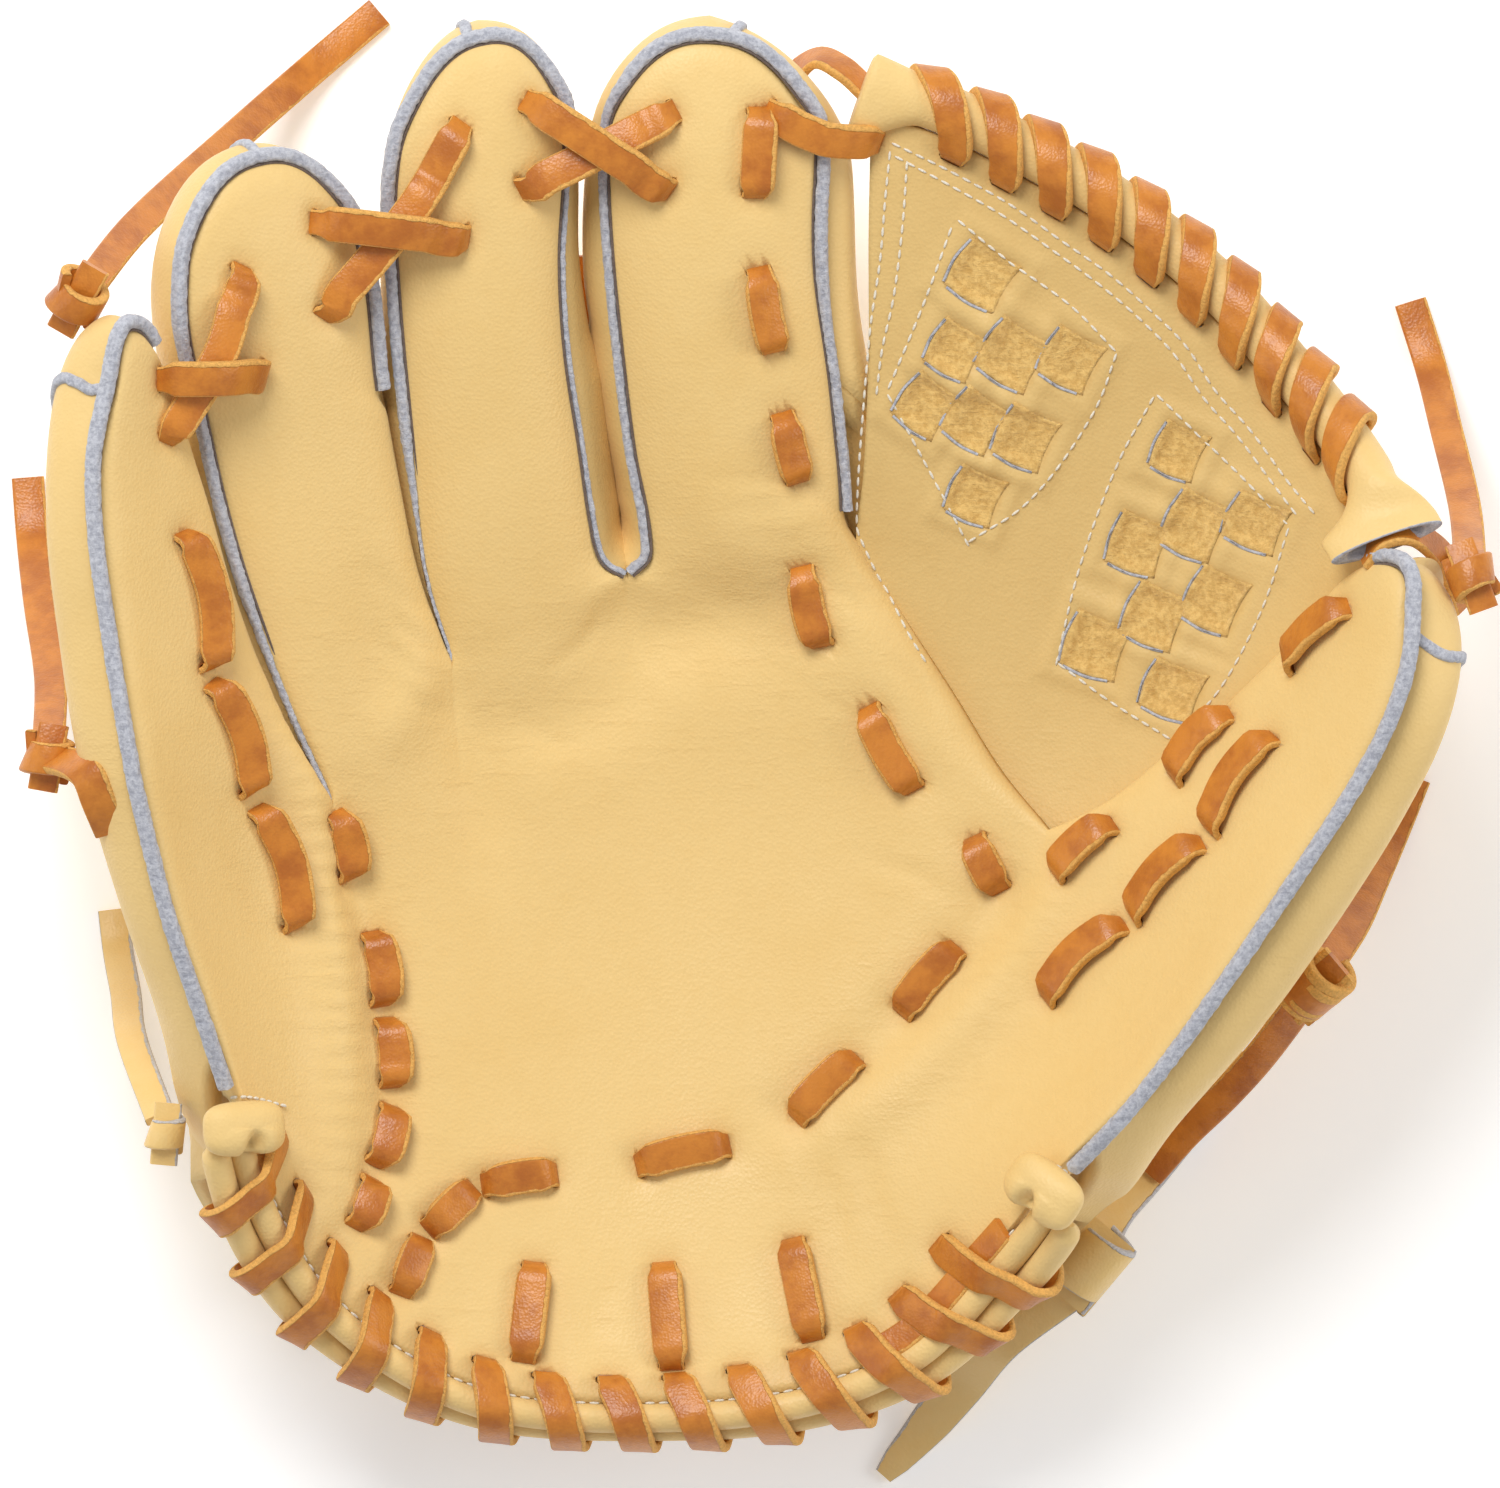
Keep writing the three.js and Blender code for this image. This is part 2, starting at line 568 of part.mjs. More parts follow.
// The wrist strap crosses below the open back, under the three middle strips.
function wristStrapGeometry() {
  const across = [0, 0.33, 0.67, 1];
  const grids = strips.slice(1, 4).map((strip) =>
    STRAP_ROWS.map((row) =>
      across.map((share) => {
        const insets = ["ring", "index"].map((name) => (strip.name === name ? STRAP_INSET : 0));
        const { point, normal } = pocketPoint(strip, share, row, insets);
        point.addScaledVector(normal, -roomDepth(strip, share, row));
        point.z = Math.max(point.z, 0);
        return { face: point, back: point.clone().addScaledVector(normal, BACK_LEATHER) };
      }),
    ),
  );
  return wallGeometry(grids);
}

// Welts

function weltGeometry(strip) {
  const [leftFrom, rightFrom] = WELT_STARTS[strip.name];
  const rows = [...PALM_ROWS.slice(1), ...FINGER_ROWS];
  const left = [leftFrom, ...rows.filter((row) => row > leftFrom)].map((row) => [0, row]);
  const right = [...rows.filter((row) => row > rightFrom).reverse(), rightFrom].map((row) => [1, row]);
  const tipStart = leftFrom < 1 ? 0 : 0.2;
  const tip = FRONT_ACROSS.filter((across) => across > tipStart && across < 1).map((across) => [across, 1]);
  const places = [...(leftFrom < 1 ? left : []), ...tip, ...(rightFrom < 1 ? right : [])];
  const seats = places.map(([across, row]) => pocketPoint(strip, across, row));
  const path = seats.map(({ point, normal }, i) => {
    const before = seats[Math.max(i - 1, 0)].point;
    const after = seats[Math.min(i + 1, seats.length - 1)].point;
    return {
      point: point.clone().addScaledVector(normal, WELT.proud - WELT.thickness / 2),
      side: after.clone().sub(before).cross(normal).normalize(),
    };
  });
  return strapGeometry(path, WELT.width, WELT.thickness);
}

// Heel binding

// A place on an edge of the leather: the edge itself, the way along it, the way out of the leather and
// the way up from it. The frame is square to the edge's own slope.
function edgeFrame(edgeAt, along, turn) {
  const step = 0.004;
  const ahead = edgeAt(Math.min(along + step, 1));
  const tangent = ahead.sub(edgeAt(Math.max(along - step, 0))).normalize();
  const edge = edgeAt(along);
  const up = pocketNormal(edge.x, edge.y);
  const out = tangent.clone().cross(up).multiplyScalar(turn).normalize();
  return { edge, out, tangent, up: out.clone().cross(tangent).multiplyScalar(turn).normalize() };
}

// The rim runs from the little finger's end to the thumb's.
function rimFrame(along) {
  const edgeAt = (share) => {
    const edge = heelCurve.getPointAt(share);
    return edge.setZ(pocketHeight(edge.x, edge.y));
  };
  return edgeFrame(edgeAt, along, 1);
}

function rollPoint(along, order) {
  const { edge, out, up } = rimFrame(along);
  const droop = mix(0.15, 0.85, Math.sin(Math.PI * along)) * order;
  const away = ROLL_RADIUS + CLEARANCE + order * (2 * ROLL_RADIUS + CLEARANCE) * Math.cos(droop);
  const down = 0.8 + order * (2 * ROLL_RADIUS + CLEARANCE) * Math.sin(droop);
  return edge.addScaledVector(out, away).addScaledVector(up, -down);
}

function rollGeometry(order) {
  const shareAt = (i) => mix(ROLL_ENDS[0], ROLL_ENDS[1], i / 20);
  const points = Array.from({ length: 21 }, (_, i) => rollPoint(shareAt(i), order));
  return roundGeometry(new THREE.CatmullRomCurve3(points), () => ROLL_RADIUS, 26, 8);
}

// The folded pad that covers the lower end of an outer welt.
function endCapGeometry([x, y]) {
  const normal = pocketNormal(x, y);
  const across = new THREE.Vector3(x > 0 ? 1 : -1, 0.2, 0);
  across.addScaledVector(normal, -across.dot(normal)).normalize();
  const along = normal.clone().cross(across);
  const pad = new THREE.SphereGeometry(0.5, 10, 7).scale(END_CAP.width, END_CAP.length, END_CAP.height);
  const place = new THREE.Vector3(x, y, pocketHeight(x, y));
  place.addScaledVector(normal, END_CAP.height / 2 + CLEARANCE);
  const turn = new THREE.Matrix4().makeBasis(across, along, normal).setPosition(place);
  return pad.applyMatrix4(turn);
}

// Web

const webTop = planCurve(WEB.top);
const webSides = [planCurve(WEB.left), planCurve(WEB.right)];

function webPoint(across, up) {
  const point = webSides[0].getPointAt(up).lerp(webSides[1].getPointAt(up), across);
  const straight = webSides[0].getPointAt(1).lerp(webSides[1].getPointAt(1), across);
  point.addScaledVector(webTop.getPointAt(across).sub(straight), up ** 2);
  const normal = pocketNormal(point.x, point.y);
  point.z = pocketHeight(point.x, point.y);
  const sag = WEB.sag * 4 * across * (1 - across) * up * (1.6 - up);
  return { point: point.addScaledVector(normal, -WEB_DEPTH - sag), normal };
}

function webGeometry() {
  const grid = WEB.upRows.map((up) =>
    WEB.acrossRows.map((across) => {
      const { point, normal } = webPoint(across, up);
      return { face: point, back: point.clone().addScaledVector(normal, -WEB_LEATHER) };
    }),
  );
  return wallGeometry([grid]);
}

// The web's top edge runs from the index finger to the thumb, with the bar along it.
function barFrame(along) {
  const edgeAt = (share) => {
    const { point, normal } = webPoint(share, 1);
    return point.addScaledVector(normal, -WEB_LEATHER / 2);
  };
  return edgeFrame(edgeAt, along, -1);
}

function barGeometry() {
  const points = Array.from({ length: 15 }, (_, i) => {
    const { edge, out } = barFrame(i / 14);
    return edge.addScaledVector(out, BAR_RADIUS + CLEARANCE);
  });
  return roundGeometry(new THREE.CatmullRomCurve3(points), () => BAR_RADIUS, 20, 10);
}

// Laces

const frontGeometry = wallGeometry(strips.map(frontGrid));
const webPanel = webGeometry();
const lacedMeshes = [frontGeometry, webPanel].map(
  (geometry) => new THREE.Mesh(geometry, new THREE.MeshBasicMaterial({ side: THREE.DoubleSide })),
);
const caster = new THREE.Raycaster();
const holes = [];

function firstHit(x, y) {
  caster.set(new THREE.Vector3(x, y, 300), new THREE.Vector3(0, 0, -1));
  return caster.intersectObjects(lacedMeshes, false)[0];
}

// Where a lace meets the leather at a place seen from above, or nothing over a gap. The direction is
// evened over the lace's width.
function seat(x, y) {
  const hit = firstHit(x, y);
  if (!hit) return undefined;
  const reach = LACE.width / 2;
  const steps = [[0, 0], [reach, 0], [-reach, 0], [0, reach], [0, -reach]];
  const around = steps.map(([dx, dy]) => firstHit(x + dx, y + dy));
  const normal = new THREE.Vector3();
  around.filter(Boolean).forEach((near) => normal.add(near.face.normal));
  return { point: hit.point, normal: normal.normalize() };
}

function addHole(place, normal, across, along, clearance = HOLE_CLEARANCE) {
  const box = new THREE.BoxGeometry(LACE.width + clearance, LACE.thickness + clearance, FRONT_LEATHER * 4);
  const centre = place.clone().addScaledVector(normal, -FRONT_LEATHER / 2);
  holes.push(box.applyMatrix4(new THREE.Matrix4().makeBasis(across, along, normal).setPosition(centre)));
}

// A lace that comes up through the leather at each stitch's first place, lies on it and goes down at
// the last, with its hidden runs close behind the leather.
function laceGeometry(stitches, arch = 0.5) {
  const over = LACE.thickness / 2 + LACE.lift;
  const under = FRONT_LEATHER + over + 0.4;
  const path = [];
  for (const stitch of stitches) {
    if (path.length) {
      const [from, to] = [path[path.length - 1].point, seat(...stitch[0]).point];
      const middle = seat((from.x + to.x) / 2, (from.y + to.y) / 2);
      if (from.distanceTo(to) > SHORT_RUN) {
        const { side } = path[path.length - 1];
        path.push({ point: middle.point.addScaledVector(middle.normal, -under), side });
      }
    }
    const ends = [seat(...stitch[0]), seat(...stitch[stitch.length - 1])];
    const along = ends[1].point.clone().sub(ends[0].point).normalize();
    const sides = ends.map((end) => end.normal.clone().cross(along).normalize());
    ends.forEach((end, i) => {
      const flat = end.normal.clone().cross(sides[i]);
      addHole(end.point, end.normal, sides[i], flat);
    });
    const lift = (end, distance) => end.point.clone().addScaledVector(end.normal, distance);
    path.push({ point: lift(ends[0], -under), side: sides[0] });
    path.push({ point: lift(ends[0], over), side: sides[0] });
    const route = planCurve(stitch);
    const steps = Math.max(2, Math.ceil(route.getLength() / 9));
    for (let i = 1; i < steps; i += 1) {
      const place = route.getPointAt(i / steps);
      const ground = seat(place.x, place.y);
      const bridging = lift(ends[0], over).lerp(lift(ends[1], over), i / steps);
      bridging.set(place.x, place.y, bridging.z);
      const resting = ground && lift(ground, over);
      const point = resting && resting.z > bridging.z - 1.5 ? resting : bridging;
      const height = arch * Math.sin((Math.PI * i) / steps);
      const side = sides[0].clone().lerp(sides[1], i / steps).normalize();
      path.push({ point: point.addScaledVector(side.clone().cross(along).negate(), height), side });
    }
    path.push({ point: lift(ends[1], over), side: sides[1] });
    path.push({ point: lift(ends[1], -under), side: sides[1] });
  }
  return strapGeometry(path, LACE.width, LACE.thickness);
}

// A lace wound round a bar and through the leather beside it. The frame gives the leather's edge, the
// hole is its distance in from there, and the loop gives the points of a turn round the bar.
function wrapGeometry({ from, to, turns, hole, shares, backFirst }, frameAt, loopAt, leather) {
  const over = LACE.thickness / 2 + LACE.lift;
  const path = [];
  for (let turn = 0; turn <= turns; turn += 1) {
    const { edge, out, tangent } = frameAt(mix(from, to, turn / turns));
    const place = edge.addScaledVector(out, -hole);
    const { point, normal } = seat(place.x, place.y);
    const side = tangent.clone().addScaledVector(normal, -tangent.dot(normal)).normalize();
    addHole(point, normal, side, normal.clone().cross(side), 1.5 * HOLE_CLEARANCE);
    const behind = { point: point.clone().addScaledVector(normal, -leather - over), side };
    const before = { point: point.clone().addScaledVector(normal, over), side };
    path.push(...(backFirst ? [before, behind] : [behind, before]));
    if (turn === turns) break;
    shares.forEach((share, i) => {
      const along = mix(from, to, (turn + share) / turns);
      path.push({ point: loopAt(along)[i], side: frameAt(along).tangent });
    });
  }
  // The lace starts and ends behind the leather.
  if (backFirst) path.shift();
  else path.pop();
  return strapGeometry(path, LACE.width, LACE.thickness);
}

// Points round a bar, at angles from the way out of the leather. They stand clear of the bar between
// them as well as at them.
function pointsRound(centre, out, up, radius, degrees, spread) {
  const nearest = radius + LACE.thickness / 2 + WRAP_LIFT;
  const away = nearest / Math.cos(THREE.MathUtils.degToRad(spread / 2));
  return degrees.map((degree) => {
    const angle = THREE.MathUtils.degToRad(degree);
    const point = centre.clone().addScaledVector(out, away * Math.cos(angle));
    return point.addScaledVector(up, away * Math.sin(angle));
  });
}

function heelLoop(along) {
  const [inner, outer] = [rollPoint(along, 0), rollPoint(along, 1)];
  const rim = rimFrame(along);
  const out = outer.clone().sub(inner).normalize();
  const up = out.clone().cross(rim.tangent).normalize();
  return [
    ...pointsRound(inner, rim.out, rim.up, ROLL_RADIUS, [80], 60),
    ...pointsRound(outer, out, up, ROLL_RADIUS, [82, 28, -28, -82], 60),
    ...pointsRound(inner, rim.out, rim.up, ROLL_RADIUS, [-100], 56),
  ];
}

function barLoop(along) {
  const { edge, out, up } = barFrame(along);
  const middle = edge.addScaledVector(out, BAR_RADIUS + CLEARANCE);
  return pointsRound(middle, out, up, BAR_RADIUS, [-125, -68, 0, 68, 125], 66);
}

// Assembly

const group = new THREE.Group();
group.position.set(-CENTRE.x, -CENTRE.y, 0);

const materials = {
  leather: new THREE.MeshStandardMaterial({ color: 0xe8cd93, roughness: 0.55, metalness: 0 }),
  webLeather: new THREE.MeshStandardMaterial({ color: 0xdcc08a, roughness: 0.6, metalness: 0 }),
  lace: new THREE.MeshStandardMaterial({ color: 0xb5682c, roughness: 0.5, metalness: 0 }),
  felt: new THREE.MeshStandardMaterial({ color: 0xb4b8c4, roughness: 0.95, metalness: 0 }),
};

function add(name, geometry, material) {
  geometry.computeVertexNormals();
  const mesh = new THREE.Mesh(geometry, materials[material]);
  mesh.name = name;
  group.add(mesh);
}

for (const strip of strips) {
  const reachesHeel = strip.name === "pinky" || strip.name === "thumb";
  const palmRows = PALM_ROWS.filter((row) => row < 0 && (reachesHeel || row > OPEN_BACK_TOP));
  add(`${strip.name}_back`, backGeometry(strip, [...palmRows, 0, ...BACK_TIP_ROWS]), "leather");
  add(`${strip.name}_welt`, weltGeometry(strip), "felt");
}
add("wrist_strap", wristStrapGeometry(), "leather");
add("heel_binding", rollGeometry(0), "leather");
add("lining_binding", rollGeometry(1), "leather");
add("pinky_end_cap", endCapGeometry(END_CAP.pinky), "leather");
add("thumb_end_cap", endCapGeometry(END_CAP.thumb), "leather");
add("web_bar", barGeometry(), "webLeather");
add("heel_lace", wrapGeometry(HEEL_WRAPS, rimFrame, heelLoop, FRONT_LEATHER), "lace");
add("web_bar_lace", wrapGeometry(BAR_WRAPS, barFrame, barLoop, WEB_LEATHER), "lace");
for (const [name, { stitches, arch }] of Object.entries(LACES)) {
  add(name, laceGeometry(stitches, arch), "lace");
}
add("palm_shell", cutGeometry(frontGeometry, holes), "leather");
add("web_panel", cutGeometry(webPanel, holes), "webLeather");

const knotCentres = {};
for (const [name, { strip: stripName, across, row, size, material }] of Object.entries(KNOTS)) {
  const strip = strips.find((other) => other.name === stripName);
  const middle = pocketPoint(strip, 0.5, row).point;
  middle.addScaledVector(pocketNormal(middle.x, middle.y), -roomDepth(strip, 0.5, row) / 2);
  const outward = backPoint(strip, across, row).sub(middle).normalize();
  caster.set(middle.addScaledVector(outward, OUTSIDE), outward.negate());
  const back = group.children.find((mesh) => mesh.name === `${stripName}_back`);
  const [hit] = caster.intersectObject(back, false);
  const knot = new THREE.IcosahedronGeometry(0.5, 1).scale(...size);
  const corners = knot.getAttribute("position");
  let reach = 0;
  for (let i = 0; i < corners.count; i += 1) {
    reach = Math.max(reach, -new THREE.Vector3().fromBufferAttribute(corners, i).dot(hit.face.normal));
  }
  const centre = hit.point.addScaledVector(hit.face.normal, reach + CLEARANCE);
  knotCentres[name] = centre;
  add(name, knot.translate(...centre.toArray()), material);
}
for (const [name, { knot, route, width }] of Object.entries(TAILS)) {
  const { size, material } = KNOTS[knot];
  const places = route.map((place) => new THREE.Vector3(...place));
  const start = places[0].clone().sub(knotCentres[knot]).normalize();
  const reach = 0.5 / start.clone().divide(new THREE.Vector3(...size)).length();
  places.unshift(knotCentres[knot].clone().addScaledVector(start, reach + CLEARANCE));
  const curve = new THREE.CatmullRomCurve3(places);
  const path = Array.from({ length: 9 }, (_, i) => {
    const along = curve.getTangentAt(i / 8);
    return { point: curve.getPointAt(i / 8), side: along.cross(UP).normalize() };
  });
  add(name, strapGeometry(path, width, LACE.thickness), material);
}

export default group;
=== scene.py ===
# %% [markdown]
# # A softball glove, leather by leather
# The glove lies on its back with the pocket up, and the camera looks straight down into it, as a shop
# photograph does. The packed model gives the frame: every piece below is made where its solid already is,
# so nothing has to be fitted afterwards.

# %% The frame
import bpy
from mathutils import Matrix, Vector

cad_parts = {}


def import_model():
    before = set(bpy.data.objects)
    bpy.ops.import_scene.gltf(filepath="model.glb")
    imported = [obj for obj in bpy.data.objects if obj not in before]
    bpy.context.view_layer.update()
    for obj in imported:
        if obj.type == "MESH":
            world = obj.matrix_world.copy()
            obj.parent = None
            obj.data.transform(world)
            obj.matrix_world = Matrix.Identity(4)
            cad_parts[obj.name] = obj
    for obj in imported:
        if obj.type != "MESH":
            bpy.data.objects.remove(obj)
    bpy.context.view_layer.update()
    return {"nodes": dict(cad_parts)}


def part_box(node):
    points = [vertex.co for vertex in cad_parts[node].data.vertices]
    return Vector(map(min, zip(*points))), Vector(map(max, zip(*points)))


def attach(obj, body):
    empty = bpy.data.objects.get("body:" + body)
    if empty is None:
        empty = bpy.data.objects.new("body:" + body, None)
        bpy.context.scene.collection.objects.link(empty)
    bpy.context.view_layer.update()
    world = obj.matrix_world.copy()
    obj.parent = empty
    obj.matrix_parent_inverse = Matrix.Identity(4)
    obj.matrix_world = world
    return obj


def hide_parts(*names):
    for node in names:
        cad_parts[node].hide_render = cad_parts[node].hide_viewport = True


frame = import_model()
print("solids in the frame:", len(frame["nodes"]))

# %% The tools of this lesson
import math

import bpy
import numpy as np
from mathutils import Vector
from mathutils.bvhtree import BVHTree

MM = 0.001
CENTRE = np.array([-1.0, -0.45, 0.0])  # middle of the glove in the tables' millimetres
UP = np.array([0.0, 0.0, 1.0])


def world(points):
    """Millimetres of the tables as metres of the frame."""
    return (np.asarray(points, float) - CENTRE) * MM


def unit(vectors):
    vectors = np.asarray(vectors, float)
    return vectors / np.maximum(np.linalg.norm(vectors, axis=-1, keepdims=True), 1e-12)


def ease(value, start, end):
    u = np.clip((np.asarray(value, float) - start) / (end - start), 0, 1)
    return u * u * (3 - 2 * u)


def mix(a, b, share):
    return a + (b - a) * share


def steps_of(points):
    """The lengths of a path's steps."""
    return np.linalg.norm(np.diff(points, axis=0), axis=1)


def cos_sin(degrees):
    return math.cos(math.radians(degrees)), math.sin(math.radians(degrees))


def in_scene(name, data):
    """A new object with its data, put in the scene."""
    thing = bpy.data.objects.new(name, data)
    bpy.context.scene.collection.objects.link(thing)
    return thing


print("the tables' middle lies at", world(CENTRE).tolist())

# %% [markdown]
# The camera is made first. A shop photograph of a glove is taken from far away with a long lens, so that
# the near fingertips don't look larger than the palm. A real camera with a 570 mm lens five metres up
# does the same. The image is 1500 by 1488 and is 312 mm wide where the glove lies.

# %% Camera
CAMERA_HEIGHT = 5.0
VIEW_WIDTH = 0.312
VIEW_LEVEL = 0.06  # the height at which the view has that width
SENSOR_WIDTH = 36
camera_data = bpy.data.cameras.new("camera")
camera_data.sensor_width = SENSOR_WIDTH
camera_data.lens = SENSOR_WIDTH * (CAMERA_HEIGHT - VIEW_LEVEL) / VIEW_WIDTH
camera_data.clip_end = 50
camera = in_scene("camera", camera_data)
camera.location = (*world([0, 0, 0])[:2], CAMERA_HEIGHT)
bpy.context.scene.camera = camera
bpy.context.scene.view_settings.view_transform = "Standard"
print("lens in mm:", round(camera_data.lens))

# %% [markdown]
# Every material here is a small recipe of nodes. The helper below adds a node to any tree, sets its inputs
# and returns it, which keeps each recipe short. Patterns read Object coordinates, or attributes that a
# piece carries, so that they stay on the leather whatever the camera does.


# %% A helper for recipes
def grow(tree, kind, inputs=None, **settings):
    """Adds a node and sets or links its inputs."""
    node = tree.nodes.new(kind)
    for name, value in settings.items():
        setattr(node, name, value)
    for name, value in (inputs or {}).items():
        if isinstance(value, bpy.types.NodeSocket):
            tree.links.new(value, node.inputs[name])
        else:
            node.inputs[name].default_value = value
    return node


class Recipe:
    """A material with a Principled shader, and a short way to add nodes to it."""

    def __init__(self, name, roughness, specular=0.5):
        self.material = bpy.data.materials.new(name)
        self.material.use_nodes = True
        self.tree = self.material.node_tree
        self.shader = self.tree.nodes["Principled BSDF"]
        self.shader.inputs["Roughness"].default_value = roughness
        self.shader.inputs["Specular IOR Level"].default_value = specular
        self.place = self.add("ShaderNodeTexCoord").outputs["Object"]

    def add(self, kind, inputs=None, **settings):
        return grow(self.tree, kind, inputs, **settings)

    def noise(self, scale, detail=2.0, roughness=0.5, place=None):
        inputs = {"Vector": place or self.place, "Scale": scale, "Detail": detail, "Roughness": roughness}
        return self.add("ShaderNodeTexNoise", inputs).outputs["Fac"]

    def stretched(self, scale, turn=0.0, place=None):
        inputs = {"Vector": place or self.place, "Scale": scale, "Rotation": (0, 0, math.radians(turn))}
        return self.add("ShaderNodeMapping", inputs).outputs["Vector"]

    def attribute(self, name, output="Fac"):
        return self.add("ShaderNodeAttribute", attribute_name=name).outputs[output]

    def band(self, value, low, high):
        inputs = {"Value": value, "From Min": low, "From Max": high}
        return self.add("ShaderNodeMapRange", inputs, interpolation_type="SMOOTHSTEP").outputs["Result"]

    def maths(self, operation, a, b):
        return self.add("ShaderNodeMath", {0: a, 1: b}, operation=operation).outputs[0]

    def blend(self, share, a, b, mode="MIX"):
        inputs = {0: share, 6: a, 7: b}
        return self.add("ShaderNodeMix", inputs, data_type="RGBA", blend_type=mode).outputs[2]

    def bump(self, height, strength, depth, under=None):
        inputs = {"Height": height, "Strength": strength, "Distance": depth}
        if under is not None:
            inputs["Normal"] = under
        return self.add("ShaderNodeBump", inputs).outputs["Normal"]

    def faded(self, share, amount):
        return self.maths("MULTIPLY", share, amount)

    def pores(self, count):
        """Round pores, so many to a metre."""
        return self.add("ShaderNodeTexVoronoi", {"Vector": self.place, "Scale": count}).outputs["Distance"]

    def finish(self, colour, normal=None, roughness=None):
        for label, socket in (("Base Color", colour), ("Normal", normal), ("Roughness", roughness)):
            if socket is not None:
                self.tree.links.new(socket, self.shader.inputs[label])
        return self.material


print("steps of a recipe:", [step for step in vars(Recipe) if not step.startswith("_")])

# %% [markdown]
# The glove's leather is a blonde steerhide: smooth, hardly glossy, with fine pores, faint clouds of a
# deeper tone, and short creases where it has been bent. The creases come from a noise that is stretched
# one way, and they are strongest where the piece's own attribute "crease" says that the leather folds;
# their colour is a little darker there, which is painted shade. A second attribute, "shade", marks where
# painted shade darkens the leather, and a third marks where it is rubbed pale, "rub".

# %% Blonde leather
BLONDE = (0.805, 0.565, 0.228, 1)
# the darker tone that the painted shade mixes into the leather
HONEY_SHADE = (0.600, 0.335, 0.085, 1)
PALE_BLONDE = (0.900, 0.670, 0.310, 1)


def blonde_leather(name, tone, shade, clouds=0.28):
    recipe = Recipe(name, roughness=0.5, specular=0.38)
    recipe.shader.inputs["Sheen Weight"].default_value = 0.06
    broad = recipe.band(recipe.noise(28, 4, 0.6), 0.42, 0.78)
    fine = recipe.band(recipe.noise(420, 3, 0.6), 0.35, 0.8)
    crease_share = recipe.attribute("crease")
    wrinkled = recipe.noise(1.0, 5, 0.62, recipe.stretched((90, 420, 90), 12))
    folded = recipe.faded(recipe.band(wrinkled, 0.5, 0.72), crease_share)
    colour = recipe.blend(recipe.faded(broad, clouds), tone, shade)
    colour = recipe.blend(recipe.faded(fine, 0.14), colour, shade)
    # painted shade: the leather is a little darker in its creases
    colour = recipe.blend(recipe.faded(folded, 0.1), colour, HONEY_SHADE)
    # painted shade: darker where the attribute "shade" is set, round the slots and round the suede squares
    colour = recipe.blend(recipe.faded(recipe.attribute("shade"), 0.8), colour, HONEY_SHADE)
    colour = recipe.blend(recipe.faded(recipe.attribute("rub"), 0.4), colour, PALE_BLONDE)
    normal = recipe.bump(recipe.pores(1400.0), 0.32, 0.00026)
    normal = recipe.bump(wrinkled, 0.05, 0.0005, normal)
    normal = recipe.bump(folded, 0.14, 0.0008, normal)
    return recipe.finish(colour, normal, recipe.band(recipe.noise(60, 3), -0.9, 1.8))


palm_leather = blonde_leather("palm_leather", BLONDE, (0.725, 0.465, 0.145, 1))
back_leather = blonde_leather("back_leather", BLONDE, (0.73, 0.475, 0.155, 1), 0.22)
web_leather = blonde_leather("web_panel_leather", (0.715, 0.490, 0.187, 1), (0.610, 0.385, 0.125, 1), 0.45)
print("leathers:", palm_leather.name, back_leather.name, web_leather.name)

# %% [markdown]
# Laces are cut from oiled tan hide. The face is dark, smooth and a little mottled; the cut edges show the
# paler, fuzzy inside. Each lace carries an attribute from the node tree that makes it, "section", which is
# its place across the cut. The recipe uses it to find the two edges, and one edge shows more than the
# other. The pale ties are the glove's own leather, with a grey edge, in three widths.

# %% Tan lace and pale ties
WIDE_EDGE = (0.00062, 0.00045)  # how far in from half the width an edge begins and is full, in metres
NARROW_EDGE = (0.00026, 0.00010)


def lace_leather(name, face, dark, edge, half_width):
    recipe = Recipe(name, roughness=0.42, specular=0.45)
    across = recipe.add("ShaderNodeSeparateXYZ", {0: recipe.attribute("section", "Vector")}).outputs["X"]
    worn = recipe.faded(recipe.band(recipe.noise(380, 3, 0.6), 0.3, 0.7), 0.00035)
    cut = recipe.maths(
        "MAXIMUM",
        recipe.band(recipe.maths("ADD", across, worn), *(half_width - inset for inset in WIDE_EDGE)),
        recipe.band(recipe.faded(across, -1.0), *(half_width - inset for inset in NARROW_EDGE)))
    fuzz = recipe.noise(1500, 3, 0.7)
    clouds = recipe.band(recipe.noise(110, 4, 0.65), 0.36, 0.7)
    along = recipe.noise(1.0, 4, 0.6, recipe.stretched((500, 160, 500), 35))
    colour = recipe.blend(clouds, face, dark)
    colour = recipe.blend(recipe.faded(recipe.band(along, 0.45, 0.8), 0.35), colour, dark)
    raw = recipe.blend(recipe.band(fuzz, 0.35, 0.7), edge, [0.75 * c for c in edge[:3]] + [1])
    normal = recipe.bump(recipe.pores(1700.0), 0.25, 0.00025)
    normal = recipe.bump(along, 0.2, 0.0006, normal)
    normal = recipe.bump(recipe.faded(fuzz, cut), 0.8, 0.0006, normal)
    rougher = recipe.maths("ADD", recipe.faded(cut, 0.5), 0.34)
    return recipe.finish(recipe.blend(cut, colour, raw), normal, rougher)


TAN = (0.620, 0.222, 0.028, 1)
DARK_TAN = (0.430, 0.128, 0.017, 1)
RAW_TAN = (0.830, 0.440, 0.110, 1)
TIE_SHADE = (0.8, 0.54, 0.2, 1)
GREY_EDGE = (0.62, 0.60, 0.60, 1)
tan_lace = lace_leather("tan_lace", TAN, DARK_TAN, RAW_TAN, 0.0036)
pale_tie, wide_tie, broad_tie = (
    lace_leather(name, BLONDE, TIE_SHADE, GREY_EDGE, half_width)
    for name, half_width in (("pale_tie", 0.0033), ("wide_tie", 0.0045), ("broad_tie", 0.0068)))
print("laces:", tan_lace.name, pale_tie.name, wide_tie.name, broad_tie.name)

